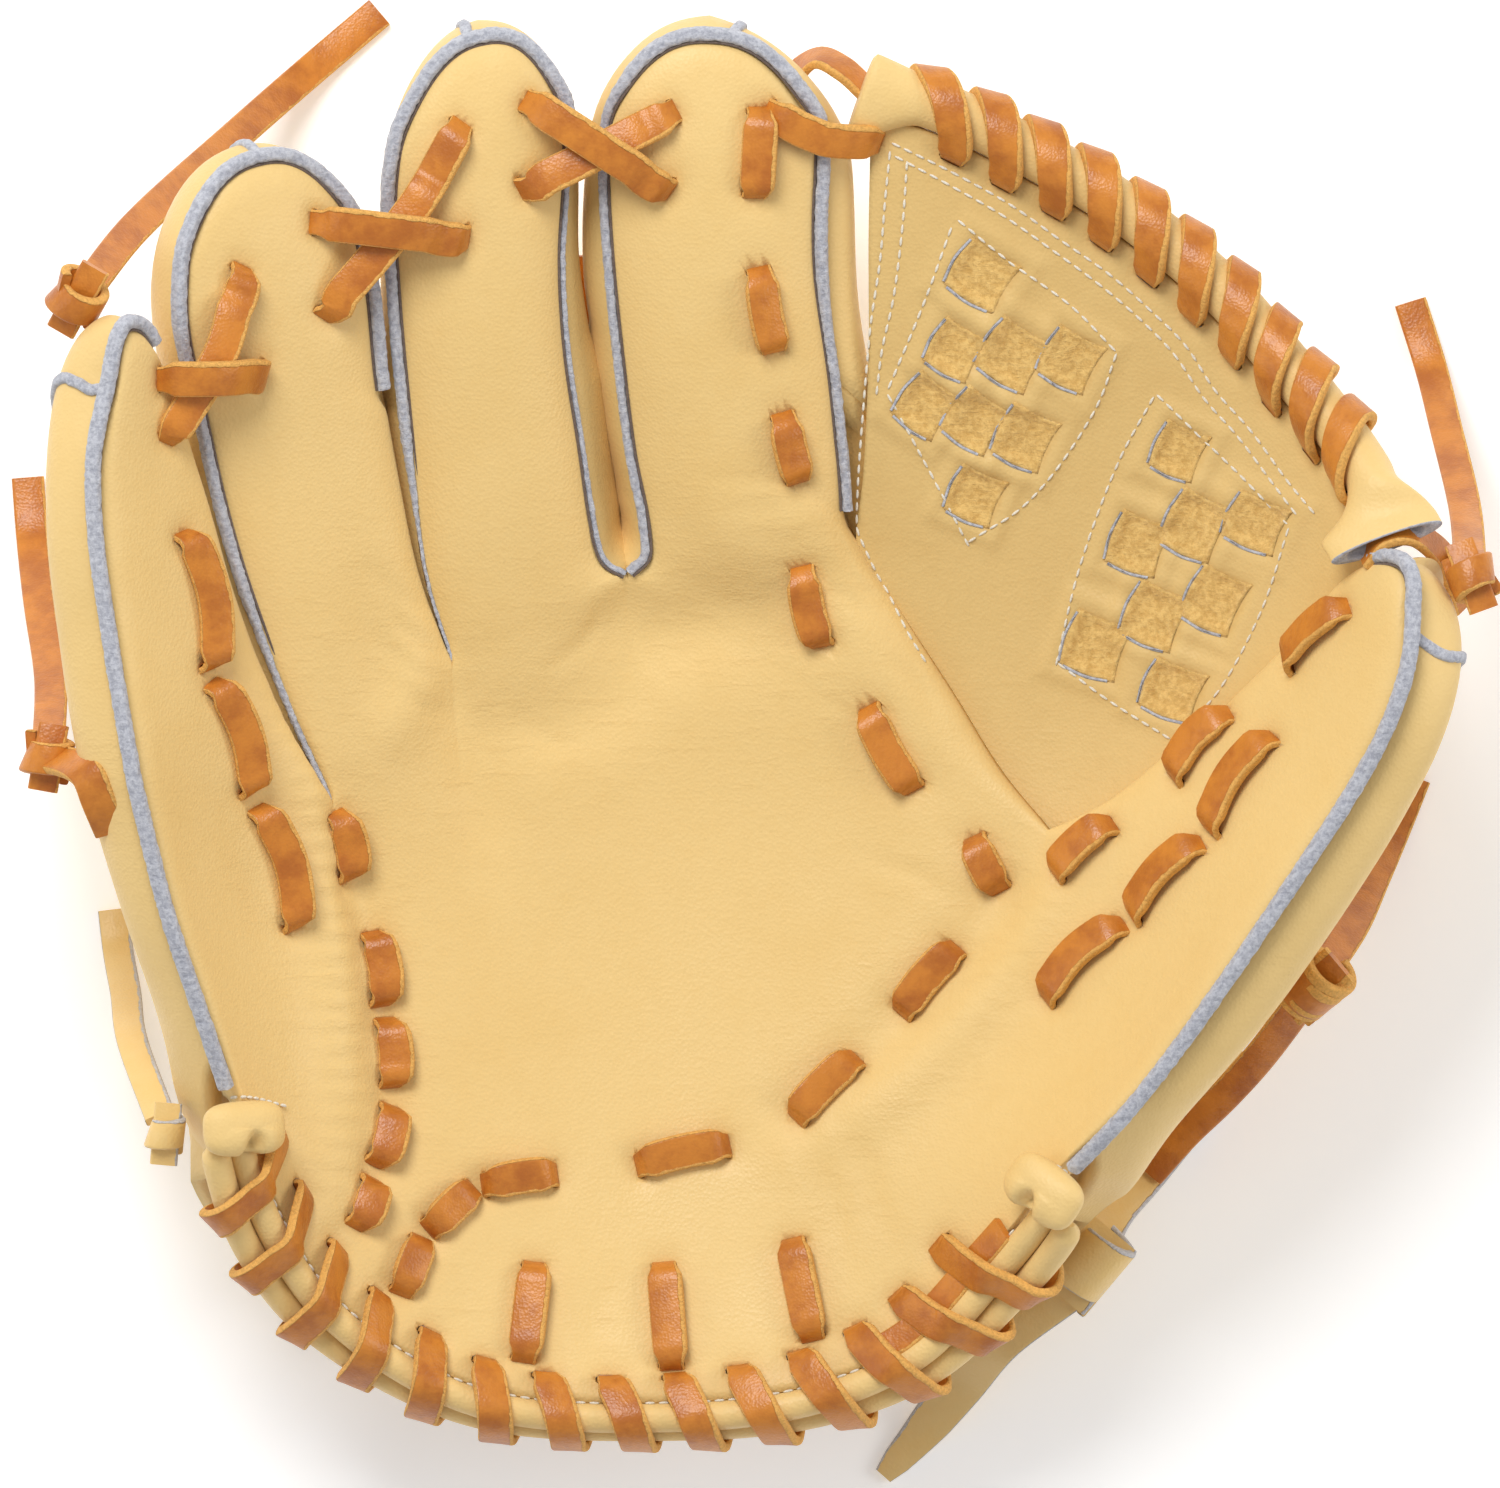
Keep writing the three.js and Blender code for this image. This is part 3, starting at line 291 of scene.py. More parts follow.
# %% [markdown]
# Felt, suede and thread are all fibre. Felt is pressed grey wool, speckled light and dark; suede is the
# flesh side of hide with a golden nap; thread is a fine twist. One recipe of speckles and of stretched
# hairs makes all three, at three scales.


# %% Felt, suede and thread
def fibre(name, light, dark, scale, depth, sheen=0.3):
    recipe = Recipe(name, roughness=0.95, specular=0.15)
    recipe.shader.inputs["Sheen Weight"].default_value = sheen
    speckle = recipe.noise(scale, 5, 0.75)
    hairs = recipe.noise(1.0, 4, 0.7, recipe.stretched((scale * 0.35, scale * 1.6, scale), 40))
    colour = recipe.blend(recipe.band(speckle, 0.34, 0.66), dark, light)
    colour = recipe.blend(recipe.faded(recipe.band(hairs, 0.5, 0.75), 0.4), colour, light)
    normal = recipe.bump(speckle, 0.9, depth)
    return recipe.finish(colour, recipe.bump(hairs, 0.5, depth, normal))


grey_felt = fibre("grey_felt", (0.62, 0.63, 0.68, 1), (0.36, 0.37, 0.43, 1), 900, 0.0006)
gold_suede = fibre("gold_suede", (0.86, 0.57, 0.20, 1), (0.64, 0.38, 0.11, 1), 700, 0.0006, 0.25)
white_thread = fibre("white_thread", (0.86, 0.82, 0.72, 1), (0.66, 0.60, 0.48, 1), 2600, 0.0001)
# the welts' dark thread, which also paints the shade in the valley beside each welt
dark_thread_and_shade = fibre("dark_thread_and_shade", (0.20, 0.15, 0.12, 1), (0.10, 0.07, 0.06, 1), 2600, 0.0001)
print("fibres:", grey_felt.name, gold_suede.name, white_thread.name, dark_thread_and_shade.name)

# %% [markdown]
# A curve through a few points is how a pattern cutter draws an edge. This one is a centripetal
# Catmull-Rom curve, which passes through every point without loops. It can be walked by length, so that
# rows come out evenly spaced, or by its own numbering.


# %% A pattern line
LINE_SAMPLES = 1601


class Line:
    def __init__(self, points):
        places = np.array([(*p, 0.0) if len(p) == 2 else tuple(p) for p in points], float)
        self.knots = np.vstack([2 * places[0] - places[1], places, 2 * places[-1] - places[-2]])
        self.spans = len(places) - 1
        self.samples = self.numbered(np.linspace(0, 1, LINE_SAMPLES))
        self.reach = np.concatenate([[0], np.cumsum(steps_of(self.samples))])
        self.length = self.reach[-1]

    def numbered(self, share):
        """Points by the curve's own numbering, from 0 to 1."""
        place = np.clip(np.atleast_1d(share), 0, 1) * self.spans
        i = np.minimum(place.astype(int), self.spans - 1)
        u = (place - i)[:, None]
        a, b, c, d = (self.knots[i + k] for k in range(4))
        before, span, after = (
            np.maximum(np.linalg.norm(q - p, axis=1, keepdims=True), 1e-9) ** 0.5
            for p, q in ((a, b), (b, c), (c, d))
        )
        start = span * ((b - a) / before - (c - a) / (before + span) + (c - b) / span)
        end = span * ((c - b) / span - (d - b) / (span + after) + (d - c) / after)
        return (
            b + start * u + (3 * (c - b) - 2 * start - end) * u**2 + (2 * (b - c) + start + end) * u**3
        )

    def at(self, share):
        """Points by length, from 0 to 1."""
        walked = np.clip(share, 0, 1) * self.length
        return np.stack([np.interp(walked, self.reach, self.samples[:, k]) for k in range(3)], -1)

    def way(self, share, step=0.003):
        return unit(self.at(np.asarray(share) + step) - self.at(np.asarray(share) - step))


print("a bowed line, in mm:", round(Line([(0, 0), (10, 2), (20, 0)]).length, 2))

# %% [markdown]
# The pocket is one smooth bowl. A short table gives a section across the glove for each row: its lowest
# place and the height of the seam on either side. Between the rows the numbers are eased, and across a
# section the wall rises slowly and then turns up late, as a broken-in pocket does.

# %% The bowl of the pocket
SECTION_COLUMNS = ("y", "left_x", "left_z", "low_x", "low_z", "right_x", "right_z")
SECTION_ROWS = [  # millimetres, from the heel up to the fingertips
    (-145, -100, 68, -20, 47, 68, 72),
    (-120, -104, 72, -20, 41, 70, 76),
    (-90, -107, 78, -18, 36, 70, 80),
    (-60, -114, 87, -15, 33, 90, 86),
    (-30, -123, 97, -10, 32, 110, 93),
    (0, -130, 105, 0, 34, 128, 98),
    (30, -136, 110, 5, 40, 137, 101),
    (60, -137, 111, 5, 49, 138, 102),
    (90, -132, 112, 5, 60, 138, 103),
    (120, -128, 113, 5, 70, 138, 104),
    (150, -126, 114, 5, 78, 138, 104),
]
SECTIONS = dict(zip(SECTION_COLUMNS, np.array(SECTION_ROWS, float).T))
WALL_ROUNDNESS = 0.5  # the share of a wall's rise that is even; the rest turns up late


def between(column, y):
    """A column's value at y, on a smooth curve through the rows."""
    ys, values = SECTIONS["y"], SECTIONS[column]
    first = np.clip(np.searchsorted(ys, y, side="left") - 1, 0, len(ys) - 2)
    last = len(ys) - 1
    ranks = np.arange(len(ys))
    ahead, behind = np.minimum(ranks + 1, last), np.maximum(ranks - 1, 0)
    slopes = (values[ahead] - values[behind]) / (ys[ahead] - ys[behind])
    step = ys[first + 1] - ys[first]
    u = np.clip((y - ys[first]) / step, 0, 1)
    bend = u * (1 - u) * step * ((1 - u) * slopes[first] - u * slopes[first + 1])
    return mix(values[first], values[first + 1], u * u * (3 - 2 * u)) + bend


def pocket_height(x, y):
    x, y = np.asarray(x, float), np.asarray(y, float)
    low_x, low_z = between("low_x", y), between("low_z", y)
    left = x < low_x
    edge_x = np.where(left, between("left_x", y), between("right_x", y))
    edge_z = np.where(left, between("left_z", y), between("right_z", y))
    u = (x - low_x) / (edge_x - low_x)
    return low_z + (edge_z - low_z) * (WALL_ROUNDNESS * u**2 + (1 - WALL_ROUNDNESS) * u**6)


def pocket_normal(x, y, step=0.5):
    slope_x = (pocket_height(x + step, y) - pocket_height(x - step, y)) / (2 * step)
    slope_y = (pocket_height(x, y + step) - pocket_height(x, y - step)) / (2 * step)
    return unit(np.stack([-slope_x, -slope_y, np.ones_like(slope_x)], -1))


print("lowest place of the pocket:", round(float(pocket_height(-5, -45)), 1), "mm")

# %% [markdown]
# The front leather is cut as one piece: five strips that run together in the palm and part at the
# crotches. Each strip is described by its two sides, so that any place on it has two numbers: how far
# across it is, from 0 to 1, and its row, which is -1 at the heel, 0 at the crotch and 1 at the tip.

# %% The pattern of the glove
HEEL = Line([(-107, -73), (-97.5, -98.5), (-84.5, -117), (-56.5, -134), (-15, -137.2), (12.8, -133.6),
             (33, -124.6), (49.5, -107.4), (65, -89)])
PALM_LINES = {
    "pinky_edge": Line([(-107, -73), (-113.2, -54), (-119.4, -35), (-126, -8)]),
    "pinky_ring": Line([(-84.5, -117), (-82, -80), (-83, -45), (-87, -12)]),
    "ring_middle": Line([(-56.5, -134), (-56, -85), (-58, -35), (-62, 17)]),
    "middle_index": Line([(-15, -137.2), (-16, -80), (-20, -20), (-25.5, 36)]),
    "index_thumb": Line([(33, -124.6), (42, -90), (53, -52), (62, -18)]),
    "thumb_edge": Line([(65, -89), (77, -76), (88, -62), (100, -45)]),
}
ROOM_DEPTHS = {  # of the hand space at the heel and at the crotch, below each palm line
    "pinky_edge": (12, 20), "pinky_ring": (38, 31), "ring_middle": (43, 37),
    "middle_index": (45, 41), "index_thumb": (42, 38), "thumb_edge": (11, 20),
}
STRIPS = {  # the sides from the crotch to the tip, and per strip:
    # depth: of the stall at either side; bulge: of its back past either seam; rise: of the round tip;
    # swell: of the padding; heel: the numbers of its places on the heel; welts: the rows where they start
    "pinky": dict(
        lines=("pinky_edge", "pinky_ring"),
        left=[(-126, -8), (-130.4, 18), (-134, 44), (-134.2, 60), (-131, 76)],
        right=[(-87, -12), (-96, 4), (-106, 30), (-111, 47), (-115.5, 61), (-119, 74)],
        depth=(18, 22), bulge=(4.2, 7), rise=12, swell=2.5, heel=(0, 2), welts=(-0.97, 1)),
    "ring": dict(
        lines=("pinky_ring", "ring_middle"),
        left=[(-87, -12), (-95, 6), (-104, 30), (-109, 47), (-113, 65), (-117, 86), (-117, 100)],
        right=[(-62, 17), (-68.5, 35), (-72.5, 54), (-76, 75), (-78, 95), (-81, 109)],
        depth=(22, 24), bulge=(8, 5), rise=17, swell=4.8, heel=(2, 3), welts=(0.0, 0.62)),
    "middle": dict(
        lines=("ring_middle", "middle_index"),
        left=[(-62, 17), (-67, 33), (-70, 52), (-72, 68), (-74, 90), (-75, 110), (-74, 124)],
        right=[(-25.5, 36), (-29.6, 38.6), (-31.6, 46), (-34, 62), (-37, 82), (-38, 100), (-37, 118),
               (-37, 131)],
        depth=(24, 25), bulge=(5.5, 9.5), rise=19, swell=5.2, heel=(3, 4), welts=(0.0, 0.0)),
    "index": dict(
        lines=("middle_index", "index_thumb"),
        left=[(-25.5, 36), (-22.6, 38.6), (-22.8, 46), (-25.5, 60), (-28, 80), (-30, 100), (-31, 118),
              (-31, 129)],
        right=[(62, -18), (52, -6), (42, 10), (31, 27), (22, 42), (20, 58), (18, 76), (15, 98),
               (15, 115), (16, 127)],
        depth=(25, 25), bulge=(9.5, 15), rise=19, swell=5.6, heel=(4, 6), welts=(0.0, 0.5)),
    "thumb": dict(
        lines=("index_thumb", "thumb_edge"),
        left=[(62, -18), (75, -11), (87, -1), (100, 10), (112, 22), (122, 34)],
        right=[(100, -45), (112, -27), (123, -10), (131, 5), (135, 18), (136, 31)],
        depth=(22, 18), bulge=(0, 6), rise=7, swell=3, heel=(6, 8), welts=(1, -0.97)),
}
for name, strip in STRIPS.items():
    strip["name"] = name
    strip["sides"] = (Line(strip["left"]), Line(strip["right"]))
    strip["palm"] = tuple(PALM_LINES[line] for line in strip["lines"])
    strip["outer"] = (name == "pinky", name == "thumb")
print("strips:", list(STRIPS))


# %% Places on a strip
def side_point(strip, side, row, inset=0.0):
    """Places on a strip's side (0 left, 1 right), moved in from its line by an inset."""
    row = np.asarray(row, float)
    in_palm = row < 0
    palm, finger = strip["palm"][side], strip["sides"][side]
    low, high = np.clip(row + 1, 0, 1), np.clip(row, 0, 1)
    chosen = in_palm[..., None]
    point = np.where(chosen, palm.at(low), finger.at(high))
    way = np.where(chosen, palm.way(low), finger.way(high))
    inward = np.stack([way[..., 1], -way[..., 0], np.zeros_like(row)], -1) * (1 if side == 0 else -1)
    return point + inward * np.asarray(inset, float)[..., None]


def plan_point(strip, across, row, insets=(0.0, 0.0)):
    """Places on a strip, seen from above."""
    across, row = np.broadcast_arrays(np.asarray(across, float), np.asarray(row, float))
    share = across[..., None]
    point = mix(side_point(strip, 0, row, insets[0]), side_point(strip, 1, row, insets[1]), share)
    heel = np.full_like(row, -1.0)
    straight = mix(side_point(strip, 0, heel), side_point(strip, 1, heel), share)
    on_heel = HEEL.numbered((mix(*strip["heel"], across) / HEEL.spans).ravel()).reshape(point.shape)
    to_heel = (on_heel - straight) * (np.clip(-row, 0, 1) ** 3)[..., None]
    near_tip, tip = np.array([0.7]), np.array([1.0])
    base = mix(side_point(strip, 0, near_tip), side_point(strip, 1, near_tip), 0.5)
    end = mix(side_point(strip, 0, tip), side_point(strip, 1, tip), 0.5)
    arc = 1 - np.abs(2 * across - 1) ** 2.4
    to_tip = unit(end - base)[0] * (strip["rise"] * arc * ease(row, 0.2, 0.95))[..., None]
    return point + np.where((row < 0)[..., None], to_heel, to_tip)


def pocket_point(strip, across, row, insets=(0.0, 0.0)):
    """Places on the bowl of the pocket, with the way out of the leather."""
    point = plan_point(strip, across, row, insets)
    point[..., 2] = pocket_height(point[..., 0], point[..., 1])
    return point, pocket_normal(point[..., 0], point[..., 1])


def swell(strip, across, row):
    """How far the padding lifts the front of a finger."""
    fade = ease(row, -0.3, 0.35) * (1 - np.clip(row, 0, 1) ** 6)
    return strip["swell"] * fade * (1 - np.abs(2 * across - 1) ** 2.6)


print("middle of the ring's crotch:", np.round(pocket_point(STRIPS["ring"], 0.5, 0.0)[0], 1))

# %% [markdown]
# A leather wall is a face and the same face moved back by its thickness, joined along every open edge.
# The helper takes grids of both, welds the grids where they share an edge, and closes the rim, so each
# piece is one closed skin without a stray face. Its volume tells which way round the faces must go.


# %% Making meshes
WELD_STEPS = 50  # to a millimetre: points nearer than that are one
MARKS = ("crease", "rub", "shade")  # what the leathers' recipe reads


def make_piece(name, mesh, materials, nodes=()):
    """Links a mesh as a piece that stands for its solids."""
    piece = in_scene(name, mesh)
    for material in materials:
        mesh.materials.append(material)
    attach(piece, "root")
    if nodes:
        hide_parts(*nodes)
    return piece


def closed_mesh(name, vertices, faces, marks=None):
    """A mesh of millimetre points whose faces are turned to point out, with named marks on its points."""
    vertices = np.asarray(vertices, float)
    volume = 0.0
    for face in faces:
        a, rest = vertices[face[0]], vertices[list(face[1:])]
        volume += float(np.einsum("ij,ij->i", np.cross(rest[:-1], rest[1:]), a[None]).sum())
    if volume < 0:
        faces = [face[::-1] for face in faces]
    mesh = bpy.data.meshes.new(name)
    mesh.from_pydata(world(vertices).tolist(), [], faces)
    mesh.polygons.foreach_set("use_smooth", [True] * len(mesh.polygons))
    for mark, values in (marks or {}).items():
        mesh.attributes.new(mark, "FLOAT", "POINT").data.foreach_set("value", np.asarray(values, np.float32))
    return mesh


def wall_mesh(name, grids, **marks):
    """One closed wall of grids of (face, back) points. A mark that isn't given is 0 everywhere."""
    faces_at = np.vstack([face.reshape(-1, 3) for face, _ in grids])
    backs_at = np.vstack([back.reshape(-1, 3) for _, back in grids])
    _, first, number = np.unique(np.round(faces_at * WELD_STEPS).astype(int), axis=0, return_index=True,
                                 return_inverse=True)
    number = number.ravel()
    faces, start = [], 0
    for face, _ in grids:
        rows, columns = face.shape[:2]
        grid = number[start:start + rows * columns].reshape(rows, columns)
        start += rows * columns
        cells = np.stack([grid[:-1, :-1], grid[:-1, 1:], grid[1:, 1:], grid[1:, :-1]], -1).reshape(-1, 4)
        for cell in cells.tolist():
            corners = [c for i, c in enumerate(cell) if c != cell[i - 1]]
            if len(set(corners)) > 2:
                faces.append(corners)
    count = len(first)
    edges = {(a, b) for face in faces for a, b in zip(face, face[1:] + face[:1])}
    rim = [(a, b) for a, b in edges if (b, a) not in edges]
    closed = faces + [[c + count for c in face[::-1]] for face in faces]
    closed += [[b, a, a + count, b + count] for a, b in sorted(rim)]
    vertices = np.vstack([faces_at[first], backs_at[first]])
    blank = [np.zeros(face.shape[:2]) for face, _ in grids]
    values = {mark: np.tile(np.concatenate([grid.ravel() for grid in marks.get(mark, blank)])[first], 2)
              for mark in MARKS}
    return closed_mesh(name, vertices, closed, values)


print("marks of a wall:", MARKS)

# %% [markdown]
# The palm front is padded leather, so it isn't a plain bowl. It swells along each finger, rolls down
# into the seam at every welt, sinks into soft valleys below the crotches, and carries a few long
# creases. Each crease is a row of a table: its path, how wide it is and how deep.

# %% Folds of the palm
FOLDS = [  # path, half width, depth, both in millimetres; a depth below 0 is a ridge
    ([(-98, 12), (-91, -8), (-88, -30), (-86, -54), (-85, -78), (-87, -96)], 5.5, -2.6),
    ([(-84, -10), (-80, -30), (-76, -54), (-74, -78), (-76, -98)], 5.0, 2.2),
    ([(-78, -2), (-72, 8), (-68, 20)], 6.0, -1.8),
    ([(66, -22), (58, -40), (46, -56), (30, -72), (10, -86)], 6.0, -2.0),
    ([(58, -16), (50, -34), (38, -50), (24, -64), (6, -76)], 5.5, 1.6),
    ([(-56, 10), (-48, 4), (-34, 6), (-20, 14)], 8, 2.2),
    ([(-44, 14), (-25, 21), (-8, 26), (12, 34), (26, 40)], 9, 3.0),
    ([(-38, 24), (-20, 26), (2, 22), (22, 30), (40, 40)], 12, 1.6),
    ([(-86, -14), (-84, -26), (-80, -40)], 5, 1.4),
    ([(-61, 15), (-58, 4), (-55, -12), (-54, -24)], 6, 1.8),
    ([(-82, 42), (-80, 24), (-74, 10), (-66, 4)], 7, 1.2),
    ([(-25, 34), (-27, 28), (-34, 20)], 4, 0.9),
    ([(22, 40), (32, 22), (44, 4)], 5, 0.7),
    ([(58, -24), (52, -34), (50, -46)], 6, 1.2),
    ([(-82, 38), (-72, 30), (-66, 29)], 1.5, 0.5),
    ([(-78, 30), (-70, 22), (-64, 20)], 1.6, 0.6),
    ([(-80, 24), (-71, 16), (-63, 13)], 1.5, 0.55),
    ([(-76, 14), (-68, 8), (-62, 6)], 1.5, 0.5),
    ([(-50, 8), (-44, 2), (-34, 0)], 1.6, 0.4),
    ([(-30, 30), (-34, 22), (-42, 16)], 1.4, 0.5),
    ([(-10, 56), (4, 58), (16, 64)], 1.6, 0.55),
    ([(-6, 50), (6, 51), (18, 55)], 1.5, 0.55),
    ([(-2, 44), (8, 44), (18, 46)], 1.4, 0.45),
    ([(22, 34), (28, 30), (33, 27)], 1.3, 0.6),
    ([(14, 33), (20, 31), (27, 27)], 1.3, 0.5),
    ([(30, 18), (36, 12), (40, 4)], 1.6, 0.5),
    ([(8, -76), (16, -92), (20, -112)], 2.4, 0.8),
    ([(16, -74), (25, -90), (30, -108)], 2.2, 0.7),
    ([(44, -34), (36, -28), (24, -24)], 2.0, 0.5),
    ([(-30, -112), (-32, -122), (-30, -130)], 2.5, 0.4),
    ([(-62, -110), (-60, -120), (-56, -128)], 2.5, 0.4),
    ([(-112, -10), (-104, -26), (-100, -44)], 3.0, 0.5),
    ([(88, -20), (80, -34), (66, -48)], 3.0, 0.5),
]
FOLD_LINES = [(Line(path).at(np.linspace(0, 1, 24))[:, :2], width, depth) for path, width, depth in FOLDS]


def folded(points):
    """How deep the folds are at places seen from above, and how creased the leather is there."""
    flat = points[..., :2].reshape(-1, 2)
    depth, crease = np.zeros(len(flat)), np.zeros(len(flat))
    for path, width, deep in FOLD_LINES:
        reach = 3.2 * width
        low, high = path.min(0) - reach, path.max(0) + reach
        near = np.flatnonzero(((flat > low) & (flat < high)).all(1))
        if not len(near):
            continue
        gaps = np.linalg.norm(flat[near, None] - path[None], axis=2)
        nearest = gaps.argmin(1)
        away = gaps[np.arange(len(near)), nearest]
        taper = np.sin(np.pi * np.clip((nearest + 0.5) / len(path), 0.04, 0.96)) ** 0.6
        shape = np.exp(-((away / width) ** 2)) * taper
        depth[near] += deep * shape
        crease[near] = np.maximum(crease[near], np.exp(-((away / max(2.4 * width, 7)) ** 2)) * taper)
    return depth.reshape(points.shape[:-1]), crease.reshape(points.shape[:-1])


print("folds:", len(FOLD_LINES))

# %% [markdown]
# The front is made of dense grids, finer towards the seams and tips where it rolls over. The five
# strips share their palm lines exactly, so they weld into a single leather.

# %% Palm front
FRONT_LEATHER = 3.0
WELT_WIDTH = 2.8
CLEARANCE = 0.3
WELT_ROOM = WELT_WIDTH / 2 + CLEARANCE * 0.3  # from a seam's line to the leather beside the welt
ROLL_OVER = 5.5  # width of the rounded edge beside a seam
EDGE_DROP = 1.5
across_even = np.linspace(0, 1, 33)
ACROSS = mix(across_even, (1 - np.cos(np.pi * across_even)) / 2, 0.7)
ROWS = np.concatenate([np.linspace(-1, 0, 84), np.linspace(0, 0.88, 54)[1:], np.linspace(0.88, 1, 20)[1:]])


def tucked_in(name, side, row):
    """How much of a welt's width shows: the ones between ring and its neighbours sink into the valley."""
    deep = {("ring", 0): 0.45, ("middle", 0): 0.25, ("ring", 1): 0.25}.get((name, side), 1.0)
    return mix(deep, 1.0, ease(row, 0.2, 0.6))


def slimmed(name, side, row):
    """The girth of a welt: it is pressed thin where two stalls lie close together."""
    slim = {("ring", 0): 0.8, ("middle", 0): 0.8, ("middle", 1): 0.42, ("index", 0): 0.66, ("index", 1): 0.75}
    return mix(slim.get((name, side), 1.0), 1.0, ease(row, 0.8, 0.97))


def seam_inset(strip, side, row):
    """How far the front stops short of a side's line, to leave room for the welt."""
    if strip["outer"][side]:
        return np.full_like(row, WELT_ROOM)
    if strip["name"] == "thumb":
        return np.zeros_like(row)
    start = strip["welts"][side]
    opened = ease(row, start - 0.05, start) if start > 0 else ease(row, -0.01, 0.02)
    return WELT_ROOM * opened * tucked_in(strip["name"], side, row)


def front_grid(strip):
    across, row = np.meshgrid(ACROSS, ROWS)
    reach = 1 - WELT_ROOM / strip["sides"][0].length
    at = np.where(row > 0, row * reach, row)
    insets = (seam_inset(strip, 0, row), seam_inset(strip, 1, row))
    point, normal = pocket_point(strip, across, at, insets)
    fold, crease = folded(point)
    seamed = [np.ones_like(row) if outer else ease(row, -0.02, 0.06) for outer in strip["outer"]]
    drop = np.zeros_like(row)
    for edge, share in ((point[:, :1], seamed[0]), (point[:, -1:], seamed[1]), (point[-1:, :], row > 0.5)):
        near = np.clip(1 - np.linalg.norm(point - edge, axis=2) / ROLL_OVER, 0, 1)
        drop = np.maximum(drop, EDGE_DROP * share * (1 - np.sqrt(1 - near**2)))
    lift = swell(strip, across, at) - fold - drop
    face = point + normal * lift[..., None]
    rub = np.clip(drop / EDGE_DROP, 0, 1) * 0.25
    crotch = np.exp(-((row / 0.16) ** 2)) * 0.5
    return face, face - normal * FRONT_LEATHER, np.maximum(crease, crotch * 0.6), rub


front_grids = [front_grid(strip) for strip in STRIPS.values()]
palm_mesh = wall_mesh("palm_front", [grid[:2] for grid in front_grids],
                      crease=[grid[2] for grid in front_grids], rub=[grid[3] for grid in front_grids])
print("palm front:", len(palm_mesh.polygons), "faces")

# %% [markdown]
# The back leathers hang below the same seams and bulge out past them, which is why a glove looks
# stuffed. Each place on a back is the seam's own place sunk by a depth that grows quickly away from the
# seam. Where the glove lies on the ground the leather is pressed flat.

# %% Places on the backs
BACK_LEATHER = 2.5
BACK_MARGIN = 1.1
SEAM_DEPTH = 2.5
TUCKED_SEAM_DEPTH = 9.5
OPEN_BACK_TOP = -0.5
TIP_REACH = {"pinky": 1.5, "ring": 2.6, "middle": 3.2, "index": 3.8}  # how far a fingertip stands out
# How much of its bulge a back has, row by row: beside the wide gap, and in the valleys beside the ring.
GAP_BULGE = ([0, 0.1, 0.4, 0.5, 0.7, 1], [0.75, 1, 1, 0.8, 0.7, 0.6])
VALLEY_BULGE = ([0, 0.1, 0.45, 0.7, 1], [0.5, 1, 1, 0.5, 0.3])


def room_depth(strip, across, row):
    """Depth of a stall or of the hand space below the pocket."""
    ends = []
    for side, line in enumerate(strip["lines"]):
        heel, crotch = ROOM_DEPTHS[line]
        in_finger = mix(crotch, strip["depth"][side], ease(row, 0, 0.8))
        ends.append(np.where(row < 0, mix(heel, crotch, np.clip(row + 1, 0, 1)), in_finger))
    return mix(ends[0], ends[1], across)


def bulging(name, side, is_outer, row):
    """The share of its bulge that a back has on one side, 0 left or 1 right."""
    if (name, side) in (("index", 0), ("middle", 1)):
        return np.interp(row, *GAP_BULGE)
    if (name, side) in (("ring", 0), ("middle", 0), ("pinky", 1), ("ring", 1)):
        return np.interp(row, *VALLEY_BULGE)
    if (name, side) == ("index", 1):
        return ease(row, 0.02, 0.25)
    return ease(row, -1, -0.5) if is_outer else ease(row, 0.1, 0.8)


def back_point(strip, across, row, inside=0.0):
    """Places on a back leather, or on its inner face when they lie inside by its thickness."""
    across, row = np.broadcast_arrays(np.asarray(across, float), np.asarray(row, float))
    name, left = strip["name"], across < 0.5

    def by_side(values):
        return np.where(left, *values)

    seamed = [np.ones_like(row) if outer else (row >= 0) * 1.0 for outer in strip["outer"]]
    insets = tuple(BACK_MARGIN + inside * share for share in seamed)
    short = np.where(row > 0, row * (1 - inside / strip["sides"][0].length), row)
    point, normal = pocket_point(strip, across, short, insets)
    from_edge = np.abs(2 * across - 1)
    rounded = (1 - from_edge**3) ** 0.45
    at_tip = (1 - np.clip((row - 0.6) / 0.4, 0, 1) ** 3) ** 0.45
    full = mix(1.0, rounded, by_side(seamed)) * at_tip
    tucked = by_side((name == "thumb", (name == "index") & (row < 0.66)))
    rim = np.where(tucked, TUCKED_SEAM_DEPTH, SEAM_DEPTH)
    shallow = np.where(by_side(strip["outer"]), mix(0.35, 1.0, ease(row, -1.0, -0.76)), 1.0)
    depth = rim + (room_depth(strip, across, row) - inside - rim) * full * shallow
    point = point - normal * depth[..., None]
    middle = plan_point(strip, 0.5, row)
    sides = [unit(plan_point(strip, side, row) - middle) for side in (0.0, 1.0)]
    outward = np.where(left[..., None], *sides)
    grown = by_side([bulging(name, side, strip["outer"][side], row) for side in (0, 1)])
    curved = 4 * full * (1 - full)  # 0 at the seam and under the finger, 1 between them
    point = point + outward * (by_side(strip["bulge"]) * grown * curved * from_edge)[..., None]
    tipward = unit(plan_point(strip, 0.5, 1.0) - plan_point(strip, 0.5, 0.85))
    point = point + tipward * (TIP_REACH.get(name, 0.0) * ease(row, 0.75, 1.0) * curved)[..., None]
    point[..., 2] = np.maximum(point[..., 2], inside)
    return point


print("lowest place of the ring's back:", round(float(back_point(STRIPS["ring"], 0.5, 0.0)[2]), 1), "mm")


